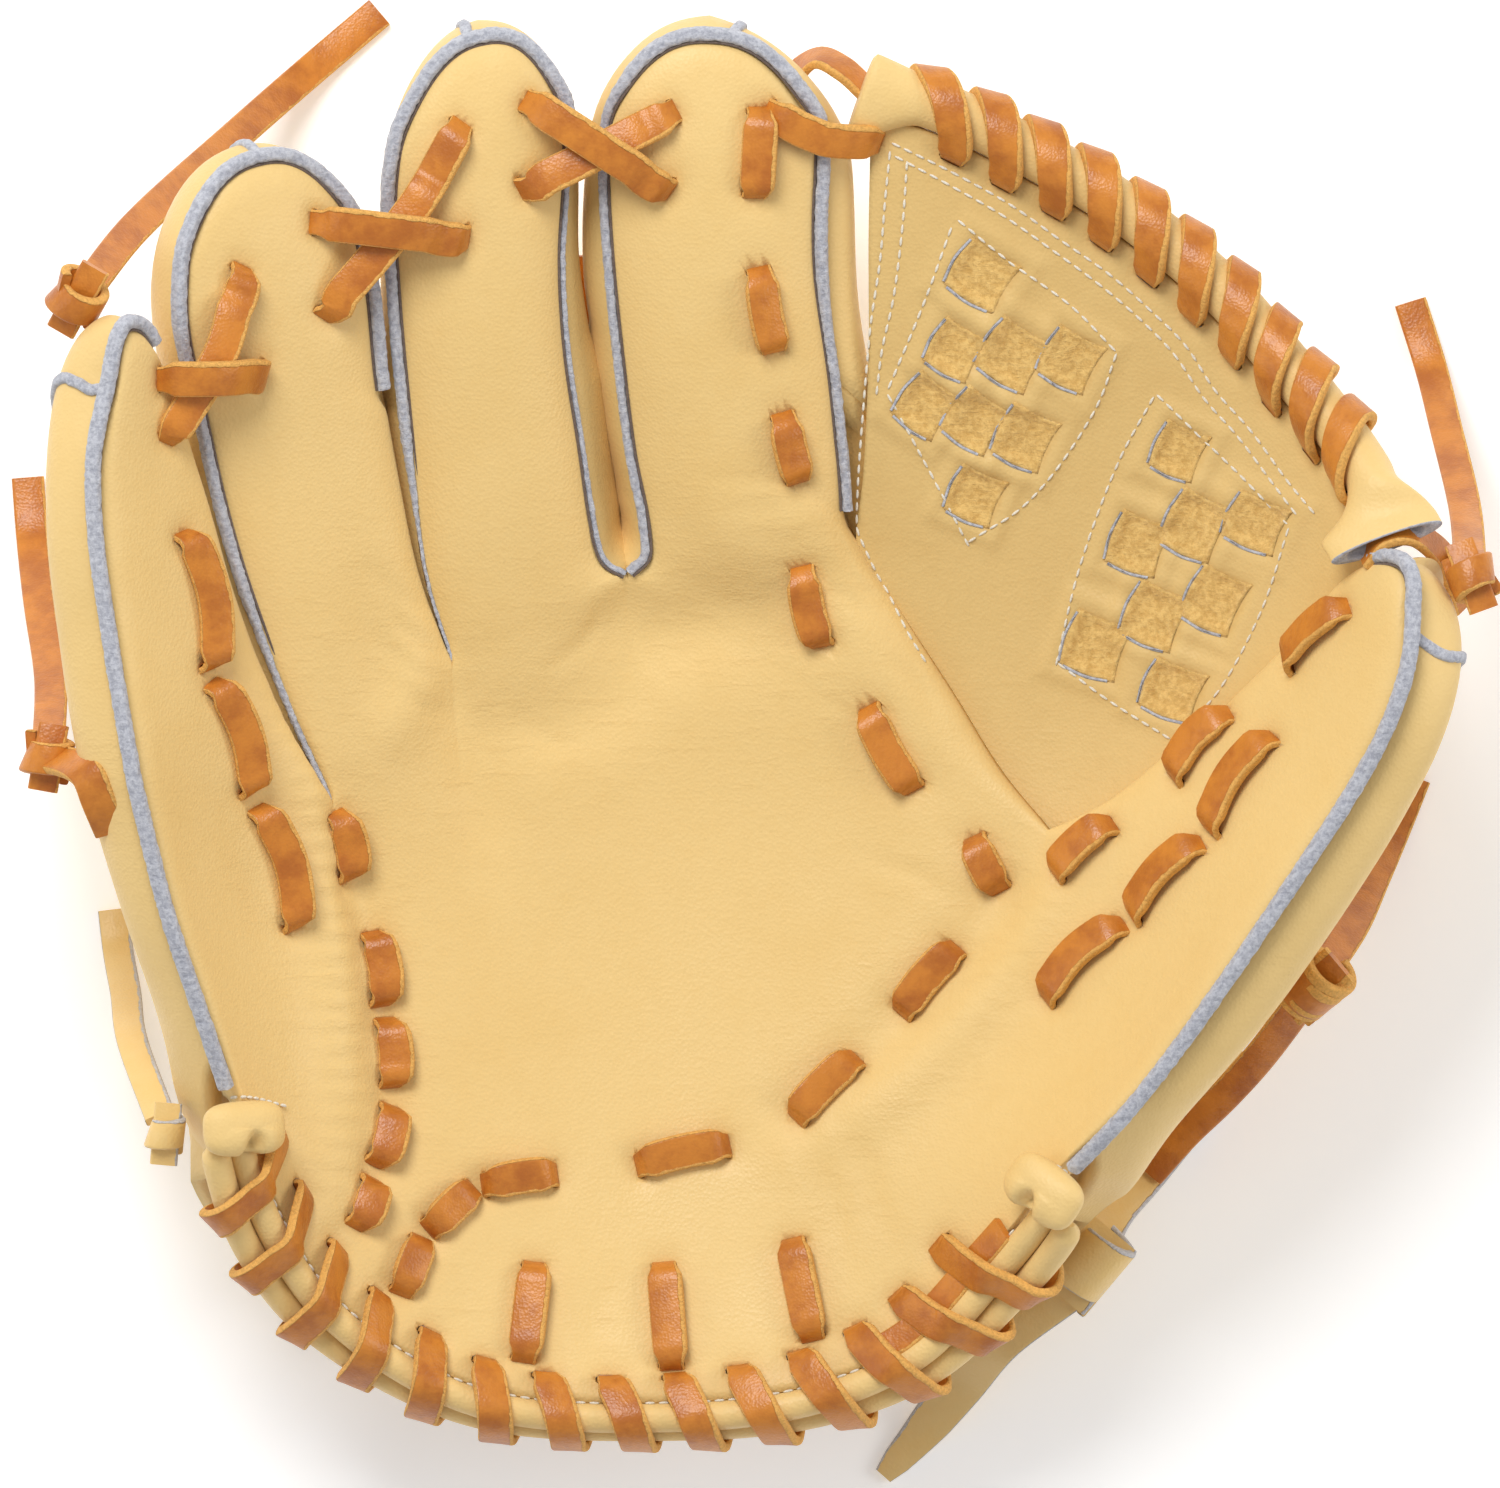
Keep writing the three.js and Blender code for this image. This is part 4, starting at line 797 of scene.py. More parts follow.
# %% The five backs
def back_piece(strip):
    name = strip["name"]
    reaches_heel = name in ("pinky", "thumb")
    low = np.linspace(-0.9 if reaches_heel else OPEN_BACK_TOP, 0, 40 if reaches_heel else 24)[:-1]
    tip = 1 - (1 - np.linspace(0, 1, 24)) ** 2.2
    rows = np.concatenate([low, np.linspace(0, 0.6, 36)[:-1], 0.6 + 0.4 * tip])
    edge = (1 - np.cos(np.pi * np.linspace(0, 1, 41))) / 2
    across, row = np.meshgrid(edge, rows)
    outer, inner = back_point(strip, across, row), back_point(strip, across, row, BACK_LEATHER)
    mesh = wall_mesh(f"{name}_back_leather", [(outer, inner)], crease=[np.exp(-((row / 0.2) ** 2)) * 0.5])
    return make_piece(mesh.name, mesh, [back_leather], [f"{name}_back"])


backs = [back_piece(strip) for strip in STRIPS.values()]
print("backs:", [len(back.data.polygons) for back in backs])

# %% [markdown]
# The web is a panel whose sides are tucked under the index finger and the thumb. Two fields of slits are
# cut in it and strips of suede are woven through them, so squares of suede and of leather alternate.
# The leather squares puff up a little, and the suede ones sit lower.

# %% Web panel
WEB_LEFT = Line([(57, -23), (46, -9), (36, 6), (26, 23), (22, 38), (23.5, 56), (24.5, 80), (24.5, 105),
                 (25, 130)])
WEB_RIGHT = Line([(60, -23), (79, -15), (92, -5), (104, 6), (117, 18), (128, 36)])
WEB_TOP = Line([(25, 130), (39, 125), (55, 116.5), (70, 107.5), (84, 96.5), (94, 87), (103, 76), (112, 65),
                (120, 54), (128, 40)])
WEB_LEATHER = 3.0
WEB_DEPTH = 3.6
WEB_SAG = 4.0


def web_point(across, up):
    across, up = np.broadcast_arrays(np.asarray(across, float), np.asarray(up, float))
    point = mix(WEB_LEFT.at(up), WEB_RIGHT.at(up), across[..., None])
    straight = mix(WEB_LEFT.at(1.0), WEB_RIGHT.at(1.0), across[..., None])
    point = point + (WEB_TOP.at(across) - straight) * (up**2)[..., None]
    normal = pocket_normal(point[..., 0], point[..., 1])
    point[..., 2] = pocket_height(point[..., 0], point[..., 1])
    sag = WEB_SAG * 4 * across * (1 - across) * up * (1.6 - up)
    return point - normal * (WEB_DEPTH + sag)[..., None], normal


SUEDE_SQUARES = [  # x and y seen from above, the turn in degrees, and the two sizes
    (48.5, 97.5, -32, 10.5, 10), (43, 82, -30, 9, 9), (55, 81, -32, 10.5, 10.5), (67, 80, -28, 9.5, 9.5),
    (36.8, 70.5, -36, 9, 9.5), (47.2, 67.4, -34, 9.5, 9.5), (57.6, 63.9, -26, 9.5, 10),
    (47.2, 51.8, -24, 9, 9), (89.5, 61, -24, 8.5, 9), (81.1, 41.8, -20, 9.5, 10), (93, 45.6, -26, 10, 11),
    (105.5, 46, -24, 10, 9), (72.4, 20.6, -20, 10.5, 10.5), (84.7, 26.8, -24, 10, 10.5),
    (97.1, 30, -26, 9.5, 10.5), (88.4, 11.2, -22, 10, 9.5),
]
SQUARE_DIP, SQUARE_PUFF = 1.2, 0.7
web_across, web_up = np.meshgrid(np.linspace(0, 1, 121), np.linspace(0, 1, 131))
web_face, web_normal = web_point(web_across, web_up)


def in_square(points, square):
    """Local places in a woven square, in half widths, for points seen from above."""
    x, y, turn, wide, tall = square
    c, s = cos_sin(turn)
    dx, dy = points[..., 0] - x, points[..., 1] - y
    return (dx * c + dy * s) / (wide / 2), (-dx * s + dy * c) / (tall / 2)


web_lift = np.zeros(web_across.shape)
web_shade = np.zeros(web_across.shape)
for square in SUEDE_SQUARES:
    a, b = in_square(web_face, square)
    far = np.maximum(np.abs(a), np.abs(b))
    web_lift -= SQUARE_DIP * (1 - ease(far, 0.72, 1.08))
    web_lift += SQUARE_PUFF * np.exp(-(((far - 1.55) / 0.38) ** 2))
    # painted shadow: a thin dark ring just outside each suede square
    web_shade = np.maximum(web_shade, np.exp(-(((far - 1.08) / 0.1) ** 2)) * 0.5)
web_face = web_face + web_normal * web_lift[..., None]
web_mesh = wall_mesh("web_leather_panel", [(web_face, web_face - web_normal * WEB_LEATHER)],
                     crease=[np.exp(-((web_up / 0.3) ** 2)) * 0.4 + 0.12], shade=[web_shade])
print("web panel:", len(web_mesh.polygons), "faces")

# %% [markdown]
# Laces, threads and stitches all lie on leather, so they need to know where it is. A ray straight down
# finds the front or the web at any place seen from above. The way out of the leather is evened over the
# width of a lace, because a stiff strip doesn't follow every pore.


# %% Finding the leather
def points_of(mesh):
    points = np.zeros(len(mesh.vertices) * 3)
    mesh.vertices.foreach_get("co", points)
    return points.reshape(-1, 3)


def tree_of(mesh):
    return BVHTree.FromPolygons(points_of(mesh).tolist(), [list(p.vertices) for p in mesh.polygons])


GROUNDS = [tree_of(palm_mesh), tree_of(web_mesh)]
DOWN = Vector((0, 0, -1))
SKY = 300  # a height above every piece, where the rays start
LACE_WIDTH = 7.4
LACE_THICKNESS = 2.1
LACE_ROUNDING = 0.6


def first_hit(x, y):
    """The leather at a place seen from above and the way out of it, or None over a gap."""
    start = Vector(world([x, y, SKY]))
    hits = [tree.ray_cast(start, DOWN) for tree in GROUNDS]
    hits = [hit for hit in hits if hit[0] is not None]
    if not hits:
        return None
    point, normal = max(hits, key=lambda hit: hit[0].z)[:2]
    return np.array(point) / MM + CENTRE, np.array(normal)


def seat(x, y, reach=LACE_WIDTH / 2):
    """The leather at a place seen from above, with an evened way out of it, or None over a gap."""
    hit = first_hit(x, y)
    if hit is None:
        return None
    around = [first_hit(x + a, y + b) for a, b in ((reach, 0), (-reach, 0), (0, reach), (0, -reach))]
    normals = [hit[1]] + [near[1] for near in around if near is not None]
    return hit[0], unit(np.sum(normals, axis=0))


print("leather under the middle of the palm:", np.round(seat(0, -60)[0], 1))

# %% [markdown]
# One node tree makes everything that is a strip along a path: laces, ties, welts, rolls and threads. It
# reads two marks from the path's points: "side", the way the width takes there, and "girth", a factor on
# the size. The section is a rectangle with rounded corners, which becomes round when the rounding is half
# its width. The section's own places are stored first, so that a material can tell a lace's face from its
# cut edges.


# %% The strip tree
def new_tree(name, sockets):
    tree = bpy.data.node_groups.new(name, "GeometryNodeTree")
    tree.interface.new_socket("Geometry", in_out="INPUT", socket_type="NodeSocketGeometry")
    for label, kind in sockets:
        tree.interface.new_socket(label, in_out="INPUT", socket_type=kind)
    tree.interface.new_socket("Geometry", in_out="OUTPUT", socket_type="NodeSocketGeometry")
    return tree


def named(tree, label, kind):
    return grow(tree, "GeometryNodeInputNamedAttribute", {"Name": label}, data_type=kind).outputs[0]


def strip_tree():
    tree = new_tree("strip_along_path", [
        ("Width", "NodeSocketFloat"), ("Thickness", "NodeSocketFloat"), ("Rounding", "NodeSocketFloat"),
        ("Corner Steps", "NodeSocketInt"), ("Fuzz", "NodeSocketFloat"), ("Material", "NodeSocketMaterial")])
    asked = grow(tree, "NodeGroupInput").outputs
    side, girth = named(tree, "side", "FLOAT_VECTOR"), named(tree, "girth", "FLOAT")
    path = grow(tree, "GeometryNodeMeshToCurve", {0: asked["Geometry"]}).outputs[0]
    turned = grow(tree, "GeometryNodeSetCurveNormal", {"Curve": path, "Normal": side}, mode="FREE").outputs[0]
    shape = grow(tree, "GeometryNodeCurvePrimitiveQuadrilateral",
                 {"Width": asked["Width"], "Height": asked["Thickness"]}).outputs[0]
    rounded = grow(tree, "GeometryNodeFilletCurve",
                   {"Curve": shape, "Count": asked["Corner Steps"], "Radius": asked["Rounding"]}, mode="POLY")
    place = grow(tree, "GeometryNodeInputPosition").outputs[0]
    section = grow(tree, "GeometryNodeStoreNamedAttribute",
                   {"Geometry": rounded.outputs[0], "Name": "section", "Value": place},
                   data_type="FLOAT_VECTOR", domain="POINT").outputs[0]
    skin = grow(tree, "GeometryNodeCurveToMesh",
                {"Curve": turned, "Profile Curve": section, "Scale": girth, "Fill Caps": True}).outputs[0]
    noise = grow(tree, "ShaderNodeTexNoise", {"Scale": 900.0, "Detail": 2.0}).outputs["Fac"]
    centred = grow(tree, "ShaderNodeMath", {0: noise, 1: 0.5}, operation="SUBTRACT").outputs[0]
    height = grow(tree, "ShaderNodeMath", {0: centred, 1: asked["Fuzz"]}, operation="MULTIPLY").outputs[0]
    out = grow(tree, "GeometryNodeInputNormal").outputs[0]
    push = grow(tree, "ShaderNodeVectorMath", {0: out, "Scale": height}, operation="SCALE").outputs[0]
    fuzzy = grow(tree, "GeometryNodeSetPosition", {"Geometry": skin, "Offset": push}).outputs[0]
    smooth = grow(tree, "GeometryNodeSetShadeSmooth", {"Geometry": fuzzy}).outputs[0]
    real = grow(tree, "GeometryNodeRealizeInstances", {"Geometry": smooth}).outputs[0]
    dressed = grow(tree, "GeometryNodeSetMaterial", {"Geometry": real, "Material": asked["Material"]})
    grow(tree, "NodeGroupOutput", {0: dressed.outputs[0]})
    return tree


STRIP_TREE = strip_tree()
print("strip tree:", len(STRIP_TREE.nodes), "nodes")


# %% Meshes that a tree grows
def grown_mesh(name, guide, tree, inputs):
    """The mesh that a node tree grows on a guide mesh."""
    guide_object = in_scene(f"{name}_guide", guide)
    modifier = guide_object.modifiers.new("grow", "NODES")
    modifier.node_group = tree
    sockets = {item.name: item.identifier for item in tree.interface.items_tree if item.in_out == "INPUT"}
    for label, value in inputs.items():
        modifier[sockets[label]] = value
    evaluated = guide_object.evaluated_get(bpy.context.evaluated_depsgraph_get())
    mesh = bpy.data.meshes.new_from_object(evaluated)
    mesh.name = name
    guide_object.modifiers.remove(modifier)
    bpy.data.objects.remove(guide_object)
    bpy.data.meshes.remove(guide)
    return mesh


def path_guide(name, paths):
    """A mesh of open paths. Each is its points, its side directions, and its girth."""
    places, sides, girths, edges = [], [], [], []
    for points, side, girth in paths:
        first = len(places)
        places.extend(world(points).tolist())
        sides.extend(np.asarray(side).tolist())
        girths.extend(np.broadcast_to(girth, len(points)).tolist())
        edges.extend((first + i, first + i + 1) for i in range(len(points) - 1))
    guide = bpy.data.meshes.new(f"{name}_path")
    guide.from_pydata(places, edges, [])
    guide.attributes.new("side", "FLOAT_VECTOR", "POINT").data.foreach_set("vector", np.ravel(sides))
    guide.attributes.new("girth", "FLOAT", "POINT").data.foreach_set("value", girths)
    return guide


def strip_piece(name, paths, size, material, nodes=(), corners=3, fuzz=0.0):
    """A piece of strips along paths. Their size is a width, a thickness and a rounding."""
    width, thickness, rounding = (value * MM for value in size)
    inputs = {"Width": width, "Thickness": thickness, "Rounding": rounding, "Corner Steps": corners,
              "Fuzz": fuzz * MM, "Material": material}
    return make_piece(name, grown_mesh(name, path_guide(name, paths), STRIP_TREE, inputs), [], nodes)


print("inputs of a strip:", [item.name for item in STRIP_TREE.interface.items_tree if item.in_out == "INPUT"])


# %% Paths that turn, lean and narrow
def leaning(path, sides, degrees):
    """The sides of a strip that leans over about its own path, so that one of its edges shows."""
    way = unit(np.gradient(path, axis=0))
    angle = np.radians(np.broadcast_to(degrees, len(path)))[:, None]
    return unit(sides * np.cos(angle) + np.cross(way, sides) * np.sin(angle))


def necks(path, places, narrow, reach=2.6):
    """Girths of a strip that is narrow where it passes the given places."""
    away = np.linalg.norm(path[:, None] - np.asarray(places)[None], axis=2).min(1)
    return 1 - (1 - narrow) * np.exp(-((away / reach) ** 4))


def smooth_path(points, sides, step=1.3):
    """A smooth path through points with its width turning evenly between their sides."""
    line = Line([tuple(p) for p in points])
    count = max(6, int(line.length / step))
    share = np.linspace(0, 1, count + 1)
    numbers = np.arange(len(points)) / line.spans
    at_points = np.interp(numbers, np.linspace(0, 1, LINE_SAMPLES), line.reach / line.length)
    places, way = line.at(share), line.way(share)
    turned = np.stack([np.interp(share, at_points, np.asarray(sides)[:, k]) for k in range(3)], -1)
    turned -= way * np.einsum("ij,ij->i", turned, way)[:, None]
    return places, unit(turned)


print("points on a path of 20 mm:", len(smooth_path([(0, 0, 0), (10, 0, 0), (20, 0, 0)], [UP] * 3)[0]))

# %% [markdown]
# The free ends and their knots come before the other laces, because a cord has to have its real length.
# A knot is a strap wound round itself inside its solid, with one strand crossing over. Each free end
# leaves its knot, slopes down beside the glove and rests with its end on the ground, as far out as the
# photograph shows. They are flat straps, so their diameter is their width, and they end cut off, as the
# real ones do. The wide ties are narrower towards their ends.

# %% Knots
LACE, TIE, WIDE_TIE, BROAD_TIE = (
    (tan_lace, "lace"), (pale_tie, "tie_leather"), (wide_tie, "tie_leather"), (broad_tie, "tie_leather"))
KNOTS = {  # finish and slot, turns, tilt and spin of their axis in degrees, width of the strap
    "pinky_tip": (LACE, 1.6, 62, 60, 6.8),
    "pinky_side": (LACE, 1.5, 85, 80, 6.8),
    "thumb_tip": (LACE, 1.5, 80, -70, 6.8),
    "thumb_side": (LACE, 2.3, 55, 40, 10),
    "left_tie": (TIE, 1.3, 80, 85, 6.2),
    "right_tie": (BROAD_TIE, 1.25, 84, 50, 13.6),
}


def knot_frame(name):
    """The middle and the half sizes of a knot's solid, in millimetres."""
    low, high = (np.array(corner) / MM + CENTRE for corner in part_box(f"{name}_knot"))
    return (low + high) / 2, (high - low) / 2


def knot_piece(name):
    """A strap wound round itself inside the knot's solid, and one strand crossing over it."""
    (finish, slot), turns, tilt, spin, width = KNOTS[name]
    middle, half = knot_frame(name)
    t = np.linspace(0, 1, int(30 * turns))
    angle = 2 * np.pi * turns * t
    (upright, tilted), (c, s) = cos_sin(tilt), cos_sin(spin)
    axis = unit([tilted * c, tilted * s, upright])
    u = unit(np.cross(axis, [0.2, 0.3, 1.0]))
    v = np.cross(axis, u)
    reach = half.min() - LACE_THICKNESS * 0.4 + 0.3 * (width - LACE_WIDTH)
    wound = (middle + np.outer(np.cos(angle), u) * reach + np.outer(np.sin(angle), v) * reach
             + np.outer(t - 0.5, axis) * reach * 0.9)
    sides = np.tile(axis, (len(t), 1)) + np.outer(np.sin(angle * 0.5), u) * 0.25
    across = middle + np.outer(np.linspace(-1.25, 1.25, 16), axis) * (half.mean())
    over = across + np.outer(np.sin(np.linspace(0, np.pi, 16)), UP) * reach * 0.25
    way = unit(np.gradient(over, axis=0))
    flat = unit(np.cross(way, UP))
    strip_piece(f"{name}_knot_turns", [(wound, unit(sides), 1.0), (over, flat, 0.92)],
                (width, LACE_THICKNESS, LACE_ROUNDING), finish, [f"{name}_knot"])


for name in KNOTS:
    knot_piece(name)
print("knots:", len(KNOTS))

# %% Free ends
TAILS = {  # knot, finish and slot, width, and the route in the tables' millimetres
    "pinky_tip_tail": ("pinky_tip", LACE, 6.8,
        [(-128, 107, 66), (-107, 128, 24), (-92, 142, 4), (-78, 154, 1)]),
    "pinky_side_tail": ("pinky_side", LACE, 6.8,
        [(-146, 14, 44), (-149, 30, 20), (-151, 44, 4), (-152, 56, 1)]),
    "thumb_tip_tail": ("thumb_tip", LACE, 6.8,
        [(149, 50, 46), (146, 66, 20), (143, 80, 4), (139, 93, 1)]),
    "thumb_side_tail_1": ("thumb_side", LACE, 6.8,
        [(126, -38, 38), (131, -28, 17), (136, -17, 3), (140, -7, 1)]),
    "thumb_side_tail_2": ("thumb_side", LACE, 6.8,
        [(106, -66, 36), (99, -74, 25), (91, -82, 15), (84, -90, 8.8)]),
    "left_tie_tail": ("left_tie", TIE, 6.5,
        [(-129, -62, 40), (-131, -52, 18), (-133, -43, 4), (-134, -35, 1)]),
    "right_tie_tail_1": ("right_tie", WIDE_TIE, 9.0,
        [(52, -124, 22), (44, -135, 9), (36, -145, 2), (28, -154, 1)]),
    "right_tie_tail_2": ("right_tie", TIE, 6.5,
        [(76, -99, 17), (84, -90, 6), (93, -79, 1.5), (104, -65, 1)]),
}
TAPERS = {  # places along the ties that narrow, and their girth there
    "right_tie_tail_1": ([0, 0.35, 0.75, 0.93, 1], [1.4, 1.25, 1.0, 0.7, 0.45]),
    "right_tie_tail_2": ([0, 0.25, 0.8, 1], [1.4, 1.25, 1.2, 0.6]),
}
EVEN = ([0, 1], [1, 1])
TAIL_PLACES = np.linspace(0, 1, 31)
for name, (knot, (finish, slot), width, route) in TAILS.items():
    middle, half = knot_frame(knot)
    start = unit(np.array(route[0]) - middle)
    exit_place = middle + start * (0.5 / np.linalg.norm(start / (2 * half)) + CLEARANCE)
    line = Line([tuple(exit_place), *route])
    points = line.at(TAIL_PLACES)
    points[:, 2] = np.maximum(points[:, 2], LACE_THICKNESS / 2 + 0.15)
    side = unit(np.cross(unit(np.gradient(points, axis=0)), UP))
    girth = np.interp(TAIL_PLACES, *TAPERS.get(name, EVEN))
    tail = strip_piece(f"{name}_strap", [(points, side, girth)], (width, LACE_THICKNESS, 0.55), finish,
                       [name])

# %% [markdown]
# A stitched lace comes up through a slot, lies on the leather and goes down through the next slot. The
# table holds the places where each stitch comes up and goes down. The path is bent over the edge of each
# slot, lies close, and stands a little proud in the middle, because a pulled lace never sits quite flat.
# It bows a little to one side, and leans over so that one of its cut edges shows.

# %% Where the stitched laces lie
HOLE_MARGIN = 0.3
LACE_NECK = 0.7  # how narrow a lace is where it dives into a slot
LACES = {
    "palm_lace": [[(2, 98), (5, 82)], [(7, 68), (10, 55)], [(11, 36), (15, 21)], [(25, 7), (34, -9)],
                  [(47, -20), (52, -30)], [(43, -43), (32, -56)], [(22, -66), (10, -78)],
                  [(-5, -84), (-23, -88)], [(-41, -90), (-55, -92)], [(-58, -93), (-66.5, -101)],
                  [(-68.5, -103.5), (-72.5, -114)]],
    "pinky_side_lace": [[(-86, -15), (-84, -28)], [(-79, -40), (-77, -54)], [(-76, -58), (-75, -71)],
                        [(-75, -76), (-78, -87)], [(-79, -91), (-82, -100)]],
    "pinky_loop_lace": [[(-117, 43), (-112, 16)], [(-111, 12), (-104, -10)], [(-102, -14), (-95, -38)]],
    "thumb_loop_lace": [[(108, 1), (96, -18)], [(93, -21), (80, -36)], [(77, -38), (62, -53)]],
    "thumb_web_lace_1": [[(123, 28), (111.5, 16.5)]],
    "thumb_web_lace_2": [[(99, 6), (88.5, -7)]],
    "thumb_web_lace_3": [[(75, -17), (64, -27)]],
    "heel_upright_lace_1": [[(-45, -109), (-47.2, -128)]],
    "heel_upright_lace_2": [[(-18, -109), (-16.4, -129.5)]],
    "heel_upright_lace_3": [[(9, -104), (13, -123.5)]],
    "index_web_lace": [[(2, 131), (1, 114)]],
    "index_bar_lace": [[(4.6, 131), (10.4, 127.2), (16, 125.6), (26.5, 125)]],
    "pinky_ring_lace_under": [[(-105, 98), (-109, 82), (-120, 63)]],
    "pinky_ring_lace_over": [[(-121.4, 75.3), (-101, 77)]],
    "ring_middle_lace_under": [[(-90, 108), (-59, 105)]],
    "ring_middle_lace_over": [[(-60, 128), (-69, 112), (-88, 89)]],
    "middle_index_lace_under": [[(-16, 131), (-31, 123), (-47, 115)]],
    "middle_index_lace_over": [[(-46, 133), (-17, 115)]],
}
# How far a lace stands proud, its bow to the side as a share of its length, and its lean in degrees.
ARCHES = {"index_bar_lace": 1.8, "pinky_ring_lace_over": 5.2, "ring_middle_lace_under": 3.8,
          "middle_index_lace_over": 3.6}
BOWS = {"pinky_loop_lace": 0.09, "thumb_loop_lace": -0.09, "pinky_side_lace": 0.07, "palm_lace": -0.035,
        "thumb_web_lace_1": -0.07, "thumb_web_lace_2": -0.07, "thumb_web_lace_3": -0.07}
LEANS = {"palm_lace": -15, "pinky_side_lace": 15, "pinky_loop_lace": 15, "thumb_loop_lace": 15}
SLOT_STEP = 1.7  # from a slot to where its lace lies on the leather
print("stitches of lace:", sum(len(stitches) for stitches in LACES.values()))

# %% Stitching
holes = []


def add_hole(place, normal, side, along, margin=HOLE_MARGIN):
    holes.append((place, normal, side, along, margin))


def lace_piece(name, path, side, girth, nodes=()):
    size = (LACE_WIDTH, LACE_THICKNESS, LACE_ROUNDING)
    strip_piece(name, [(path, side, girth)], size, tan_lace, nodes)


def firm_seat(place, toward):
    """The seat of a stitch's end, or the nearest one on the way to its other end."""
    place, toward = np.array(place, float), np.array(toward, float)
    found = [seat(*mix(place, toward, share)) for share in np.linspace(0, 0.4, 9)]
    return next(ground for ground in found if ground is not None)


def stitch_path(stitches, arch, bow):
    over, under = LACE_THICKNESS / 2 + 0.8, FRONT_LEATHER + LACE_THICKNESS / 2 + 0.6
    points, sides = [], []
    for stitch in stitches:
        first, last = firm_seat(stitch[0], stitch[-1]), firm_seat(stitch[-1], stitch[0])
        along = unit(last[0] - first[0])
        side_pair = [unit(np.cross(end[1], along)) for end in (first, last)]
        if points:
            middle = (points[-1] + first[0] - first[1] * under) / 2
            ground = seat(*middle[:2])
            if ground is not None and np.linalg.norm(points[-1] - first[0]) > 9:
                points.append(ground[0] - ground[1] * under)
                sides.append(sides[-1])
        for (place, normal), side in zip((first, last), side_pair):
            add_hole(place, normal, side, np.cross(normal, side))
        points += [first[0] - first[1] * under, first[0] - first[1] * 0.4 - along * 0.2]
        sides += [side_pair[0]] * 2
        route = Line(stitch)
        steps = max(3, int(math.ceil(route.length / 4)))
        for i in range(steps + 1):
            share = mix(SLOT_STEP / route.length, 1 - SLOT_STEP / route.length, i / steps)
            x, y, _ = route.at(share)
            ground = seat(x, y)
            level = mix(first[0], last[0], share)[2] + over
            bridging = np.array([x, y, level])
            resting = ground[0] + ground[1] * over if ground is not None else bridging
            point = resting if resting[2] > level - 1.5 else bridging
            side = unit(mix(side_pair[0], side_pair[1], share) * np.array([1, 1, 0.45]))
            point = point + side * bow * route.length * math.sin(math.pi * share)
            rise = (arch + 0.35) * math.sin(math.pi * share) ** 0.8
            points.append(point + unit(np.cross(along, side)) * rise)
            sides.append(side)
        points += [last[0] - last[1] * 0.4 + along * 0.2, last[0] - last[1] * under]
        sides += [side_pair[1]] * 2
    return smooth_path(points, sides)


for name, stitches in LACES.items():
    first = len(holes)
    path, side = stitch_path(stitches, ARCHES.get(name, 0.0), BOWS.get(name, 0.0))
    girth = necks(path, [hole[0] for hole in holes[first:]], LACE_NECK)
    side = leaning(path, side, LEANS.get(name, 12) * (girth - LACE_NECK) / (1 - LACE_NECK))
    lace_piece(f"{name}_strap", path, side, girth, [name])
print("stitched laces:", len(LACES), "slots so far:", len(holes))

# %% [markdown]
# A wound lace goes up through the leather, over the rolls and back under, turn after turn, and each turn
# leans because the next hole is farther along. The heel has two rolls to go round and the web has one.
# The frame of an edge says which way is out of the leather, along it and up from it.


# %% Frames along an edge
ROLL_RADIUS = 2.9
BAR_RADIUS = 5.2


def edge_frame(edge_at, along, turn):
    """A place on an edge, and the ways out of the leather, along the edge and up."""
    tangent = unit(edge_at(min(along + 0.004, 1.0)) - edge_at(max(along - 0.004, 0.0)))
    edge = edge_at(along)
    up = pocket_normal(edge[0], edge[1])
    out = unit(np.cross(tangent, up) * turn)
    return edge, out, tangent, unit(np.cross(out, tangent) * turn)


def rim_frame(along):
    def edge_at(share):
        x, y, _ = HEEL.at(share)
        return np.array([x, y, float(pocket_height(x, y))])

    return edge_frame(edge_at, along, 1)


def bar_frame(along):
    def edge_at(share):
        point, normal = web_point(share, 1.0)
        return point - normal * WEB_LEATHER / 2

    return edge_frame(edge_at, along, -1)


def roll_point(along, order):
    """The middle of the heel's first roll or, with order 1, of the second, which hangs below it."""
    edge, out, _, up = rim_frame(along)
    droop = mix(0.12, 1.5, math.sin(math.pi * along) ** 0.8) * order
    pitch = 2 * ROLL_RADIUS + CLEARANCE
    away = ROLL_RADIUS + CLEARANCE + order * pitch * math.cos(droop)
    return edge + out * away - up * (0.8 + order * pitch * math.sin(droop))


def bar_middle(along):
    edge, out, _, _ = bar_frame(along)
    return edge + out * (BAR_RADIUS + CLEARANCE)


print("middle of the heel's rolls:", [np.round(roll_point(0.5, order), 1) for order in (0, 1)])

# %% Turns of a winding
WOUND_NECK = 0.68
# Where the turns of a winding have their points, as shares of the way from one slot to the next.
HEEL_SHARES = (0.2, 0.3, 0.39, 0.46, 0.51, 0.56, 0.63, 0.74, 0.88)
BAR_SHARES = (0.02, 0.04, 0.06, 0.08, 0.14, 0.32, 0.52, 0.7, 0.86)
HEEL_SLOTS_IN = 5.0  # from the rim in the middle of the heel, and how much farther at the two ends
HEEL_SLOTS_FARTHER = (5.5, 7.0)
BAR_SLOTS_IN = 3.6


def round_bar(centre, out, up, reach, degrees):
    angles = [math.radians(degree) for degree in degrees]
    return [centre + reach * (out * math.cos(angle) + up * math.sin(angle)) for angle in angles]


